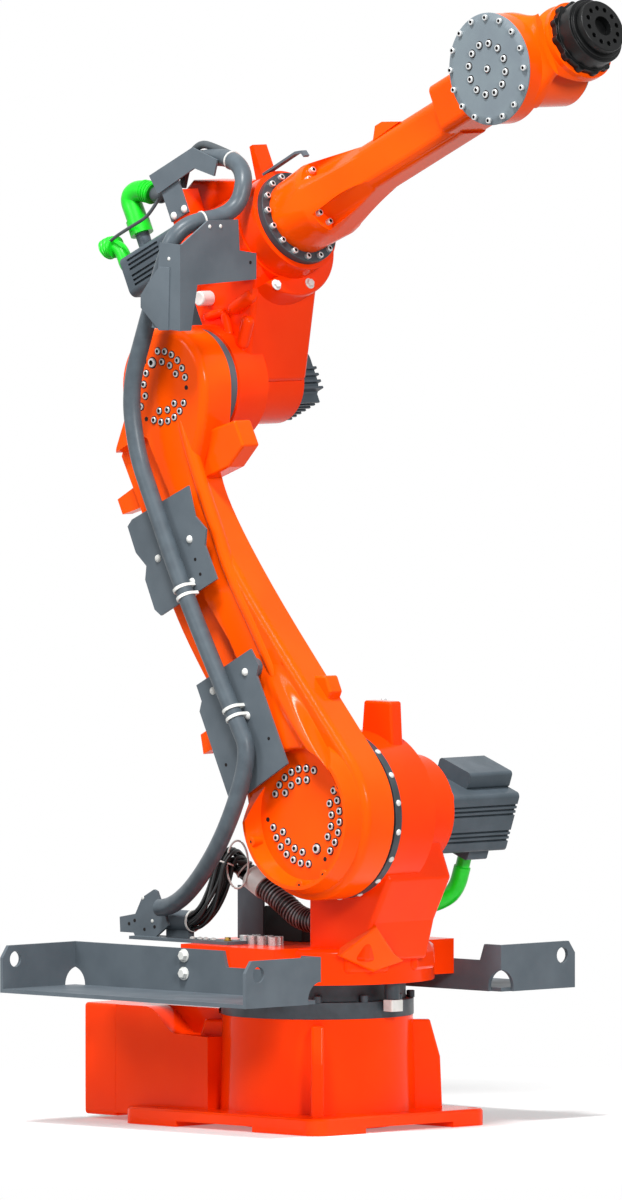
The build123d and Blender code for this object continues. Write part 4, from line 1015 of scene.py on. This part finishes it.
@dataclass
class ElbowFittings:
    """The casting's crown, ribs and collar, axis 4's screws, the plugs and wires, and the cover's wing and rivets."""

    crown_y: float = 90.0
    crown_deep: float = 112.0
    crown: Rows = ((-452, 2190), (-452, 2340), (-426, 2364), (-160, 2368), (-120, 2300), (-140, 2190))
    rib_y: float = -118.0
    cover_y: float = -391.0
    cover_x: float = 169.0
    wing: Rows = ((134, 306), (129, 148), (96.4, 146.6), (31, 202), (31, 234), (63.9, 272), (96.4, 306))
    stay_y: float = -130.0
    plug_y: float = -60.0
    plug_step: float = 1.5
    grip_mm: float = 9.0
    wire_r: float = 4.5

    def ribs(self) -> Patch:
        """Lays round ribs on the casting's right side, and the collar under the neck as a raised arc.

        Returns:
            The ribs and the collar.
        """
        lines = [((72, 186), (158, 232), 17.0), ((110, 92), (140, 176), 17.0), ((50, 184), (72, 120), 11.0),
                 ((72, 120), (112, 92), 11.0), ((-20, 168), (50, 184), 11.0)]
        made = [capsule(np.array([elbow(*start, self.rib_y), elbow(*end, self.rib_y)]), r) for start, end, r in lines]
        arc = around(AXIS_4 - 160 * FORWARD, NORTH, RISE, 180.0, np.arange(232, 346, 3.0))
        made.append(block(arc, FORWARD, 82.0, 9.0))
        return join(made)

    def plugs(self) -> Patch:
        """Carries round plug bodies along their bends, with wide collars and grip rings at their ends.

        Returns:
            Both plugs.
        """
        large, small = (
            spline([fore(*spot, self.plug_y) for spot in spots], self.plug_step) for spots in (
                ((-477, 164), (-477, 214), (-480, 268), (-432, 270), (-396, 240)),
                ((-528, 100), (-563, 98), (-560, 160), (-590, 181), (-610, 179))))
        run = self.plug_step * np.arange(len(large))
        grip = np.where((run > run[-1] - 34) & (run % self.grip_mm < self.grip_mm / 2), 2.5, 0.0)
        body = carry(large, np.where(run < 42, 30.0, 26.5) + grip, 28)
        run = self.plug_step * np.arange(len(small))
        mouth = run > run[-1] - 36
        grip = np.where(mouth & (run % self.grip_mm < self.grip_mm / 2), 2.0, 0.0)
        return join([body, carry(small, np.where(mouth, 26.0, 18.5) + grip, 28)])

    def wires(self) -> Patch:
        """Carries the thin wire from the small plug up to the roof, and the cable that arches over the roof.

        Returns:
            The wire, the cable, and the round ends of both plugs' inserts.
        """
        thin = spline([(-694, -61, 2181), (-680, -68, 2196), (-640, -86, 2214), (-561, -102, 2245), (-506, -106, 2268),
                       (-480, -106, 2292), (-462, -102, 2318)], 4.0)
        arch = spline([elbow(-150, 490, -66), elbow(-132, 560, -66), elbow(-84, 604, -70), elbow(-20, 594, -80),
                       elbow(40, 580, -92)], 4.0)
        mouth = capsule(np.array([fore(-596, 180, self.plug_y), fore(-611, 178, self.plug_y)]), 14.0)
        gland = capsule(np.array([fore(-402, 244, self.plug_y), fore(-356, 214, self.plug_y)]), 21.0)
        return join([carry(thin, self.wire_r, 12), carry(arch, 10.0, 16), mouth, gland])

    def build(self) -> None:
        """Makes the ring's screws, crown, ribs, wing, plugs, wires, the cover's rivets and the stay's screws."""
        ring = around(AXIS_4, NORTH, RISE, 110.0, 102 + 22.5 * np.arange(16))
        piece("axis_4_screws", Screw(Head.SOCKET, 8.0, 9.0).at(ring, FORWARD), "elbow", *ZINC_CAP)
        crown = np.array([(x, self.crown_y, z) for x, z in self.crown])
        # The crown and the ribs take the redder enamel, which paints shade into their colour.
        piece("elbow_crown", block(crown, -NORTH, self.crown_deep, 12.0), "elbow", *SHADE_RED_PAINT)
        piece("elbow_ribs", self.ribs(), "elbow", *SHADE_RED_PAINT)
        collar = np.array([fore(-78, -150, -77), fore(-78, -150, 41)])
        piece("collar_screws", Screw(Head.HEX, 10.5, 10.0).at(collar, FORWARD), "elbow", *WHITE)
        wing = np.array([elbow(*spot, self.cover_y + 0.5) for spot in self.wing])
        piece("cover_wing", block(wing, -NORTH, 4.0, 1.0), "elbow", "grey_sheet", SHEET)
        piece("elbow_plug_bodies", self.plugs(), "elbow", "green_plastic", GREEN, replaces=["elbow_plugs"])
        piece("elbow_wires", self.wires(), "elbow", "black_rubber", WIRE)
        cover, x, y = ["hose_cover"], self.cover_x, self.cover_y
        side = np.array([elbow(128.9, 326.7, y), elbow(125.2, 289.8, y), elbow(91.3, 178.1, y)])
        front = np.array([elbow(x, 406.0, -286.8), elbow(x, 405.7, -248.6)])
        stay = np.array([fore(*spot, self.stay_y) for spot in ((-255.8, 137.8), (-296.9, 137.0), (-287.9, 103.7))])
        rivet, hole = Screw(Head.DOME, 5.0, 2.5), Screw(Head.HOLE, 4.5, 0.4)
        piece("cover_rivets", join([
            rivet.on(cover, side), rivet.on(cover, front, EAST),
            Screw(Head.DOME, 10.0, 7.0).on(["roof_stay", "elbow_casting"], stay)]), "elbow", *WHITE)
        # The holes are flat dark discs of painted shade.
        piece("cover_holes", join([
            hole.on(cover, elbow(102.9, 165.3, y)), hole.on(cover, elbow(x, 311.8, -143.3), EAST)]),
            "elbow", *DARK_CAP)


@dataclass
class WristFittings:
    """The hand's cheek, and the screws of the forearm's root and of the wrist's disc."""

    disc_face: float = -176.0
    head_clear: float = 110.0
    cheek_y: float = -98.0
    step_y: float = -112.6

    def cheek(self) -> Patch:
        """Lofts the hand's right cheek from the barrel's width down to the round hand.

        Each section is half an oval that grows rounder towards the hand. Its flat back stands clear of
        the forearm's head, so it steps outwards where it is nearer to axis 5 than the head's radius.

        Returns:
            The cheek.
        """
        sections, turns, backs = 24, 49, 33
        share = smooth(np.linspace(0, 1, sections))[:, None]
        ahead = np.linspace(44, 150, sections)[:, None]
        turn = np.radians(np.linspace(90, 270, turns))[None]
        power = 2 / (4.2 - 1.8 * share)
        wide, tall = 66 - 44 * share, 128 - 46 * share
        out = self.cheek_y - wide * np.abs(np.cos(turn)) ** power
        rise = tall * np.sign(np.sin(turn)) * np.abs(np.sin(turn)) ** power
        high = np.concatenate([rise, rise[:, -1:] * np.linspace(0.99, -0.99, backs)[None]], axis=1)
        back = np.where(np.hypot(ahead, high) > self.head_clear, self.cheek_y, self.step_y)
        side = np.concatenate([np.minimum(out, back[:, :turns]), back[:, turns:]], axis=1)
        return loft(AXIS_5 + ahead[..., None] * FORWARD + high[..., None] * RISE + side[..., None] * NORTH)

    def build(self) -> None:
        """Makes the hand's cheek, the root screws, the disc's two rings of screws and its middle screw."""
        piece("hand_cheek", self.cheek(), "wrist", *PAINT)
        root = around(AXIS_4 + 128 * FORWARD, NORTH, RISE, 84.0, (33, 57, 123, 147, 213, 237, 303, 327))
        piece("forearm_root_screws", Screw(Head.SOCKET, 8.0, 12.0).at(root, FORWARD), "forearm", *ZINC_CAP)
        middle = AXIS_5 + self.disc_face * NORTH
        outer = around(middle, FORWARD, RISE, 128.0, 22.5 * np.arange(16))
        inner = around(middle, FORWARD, RISE, 64.0, 30.0 * np.arange(12))
        # The sunk heads sit in flat rings of painted shadow in place of counterbores.
        piece("wrist_disc_screws", join([
            Screw(Head.SOCKET, 7.5, 6.0).at(outer, -NORTH),
            Screw(Head.SUNK, 8.5, 5.0).at(inner, -NORTH),
            Screw(Head.SUNK, 8.5, 5.0).at(middle, -NORTH)]), "wrist", *ZINC_CAP)


@dataclass
class Studio:
    """The camera at the photograph's angle, soft lamps, a pale floor and a white surround."""

    lens: float = 850.0
    plane_m: float = 0.35
    distance_m: float = 70.83
    floor_r: float = 2600.0
    ambient: float = 0.25

    def camera(self) -> None:
        """Sets a long lens 45 degrees round and 3 degrees up, looking at the middle of the frame."""
        right, up = np.array([0.7071, 0.7071, 0.0]), np.array([-0.0370, 0.0370, 0.99863])
        back = np.array([0.70614, -0.70614, 0.05234])
        data = bpy.data.cameras.new("camera")
        data.lens = self.lens
        data.clip_end = 200.0
        made = show("camera", data)
        made.location = -0.01625 * right + 1.3175 * up + (self.plane_m + self.distance_m) * back
        made.rotation_euler = (np.radians(87), 0.0, np.radians(45))
        bpy.context.scene.camera = made

    def lamp(self, name: str, place: Sequence[float], aim: Sequence[float], size: float, watts: float) -> None:
        """Hangs a square area lamp, turned to what it lights.

        Args:
            name: the lamp's name.
            place: where it hangs, in metres.
            aim: the point that it is turned to.
            size: the length of its sides.
            watts: its power.
        """
        data = bpy.data.lights.new(name, "AREA")
        data.size = size
        data.energy = watts
        made = show(name, data)
        away = unit(np.subtract(place, aim))
        made.location = place
        made.rotation_euler = (np.arccos(away[2]), 0.0, np.arctan2(away[1], away[0]) + np.pi / 2)

    def world(self) -> None:
        """Lights all round by a soft grey, and shows white to the camera, to gloss and through glass."""
        world = bpy.data.worlds.new("surround")
        tree = bare(world)
        ray = node(tree, "LightPath").outputs
        seen = node(tree, "Math", {0: ray["Is Camera Ray"], 1: ray["Is Glossy Ray"]}, operation="MAXIMUM")
        seen = node(tree, "Math", {0: seen.outputs[0], 1: ray["Is Transmission Ray"]}, operation="MAXIMUM")
        level = node(tree, "MapRange", {"Value": seen.outputs[0], "To Min": self.ambient, "To Max": 1.0})
        glow = node(tree, "Background", {"Color": (1, 1, 1, 1), "Strength": level.outputs[0]})
        node(tree, "OutputWorld", {"Surface": glow.outputs[0]})
        bpy.context.scene.world = world

    def floor(self) -> None:
        """Lays a pale floor disc whose edge fades into the white surround."""
        made = bpy.data.materials.new("studio_floor")
        tree = bare(made)
        place = node(tree, "TexCoord").outputs["Object"]
        far = node(tree, "VectorMath", {0: place}, operation="LENGTH")
        fade = node(tree, "MapRange", {"Value": far.outputs["Value"], "From Min": 0.7, "From Max": 2.2})
        pale = node(tree, "BsdfDiffuse", {"Color": linear("#F2F2F2")})
        glow = node(tree, "Emission", {"Strength": 0.2})
        both = node(tree, "AddShader", {0: pale.outputs[0], 1: glow.outputs[0]})
        clear = node(tree, "BsdfTransparent")
        mix = node(tree, "MixShader", {0: fade.outputs[0], 1: both.outputs[0], 2: clear.outputs[0]})
        node(tree, "OutputMaterial", {"Surface": mix.outputs[0]})
        mesh = bpy.data.meshes.new("studio_floor")
        rim = around(-1.0 * UP, EAST, NORTH, self.floor_r, np.arange(0, 360, 3)) * MM
        mesh.from_pydata(rim.tolist(), [], [list(range(len(rim)))])
        mesh.materials.append(made)
        disc = show("studio_floor", mesh)

    def build(self) -> None:
        """Sets up the view, the lamps, the floor and the surround."""
        bpy.context.scene.view_settings.view_transform = "Standard"
        self.camera()
        self.world()
        self.floor()
        self.lamp("key", (1.7, -4.4, 9.9), (0.0, 0.0, 1.2), 1.8, 1200.0)
        self.lamp("fill", (7.6, -3.2, 4.6), (0.0, 0.0, 1.3), 1.6, 480.0)
        self.lamp("left", (-2.8, -7.4, 5.3), (0.0, 0.0, 1.0), 3.0, 270.0)


def main() -> None:
    """Builds the studio and the sub-assemblies in order."""
    logging.basicConfig(level=logging.INFO, format="%(name)s %(message)s")
    Studio().build()
    DressHose().build()
    CableRun().build()
    CastingDress().dress()
    for fittings in (BaseFittings(), CarouselFittings(), ArmFittings(), ElbowFittings(), WristFittings()):
        fittings.build()


if __name__ == "__main__":
    main()
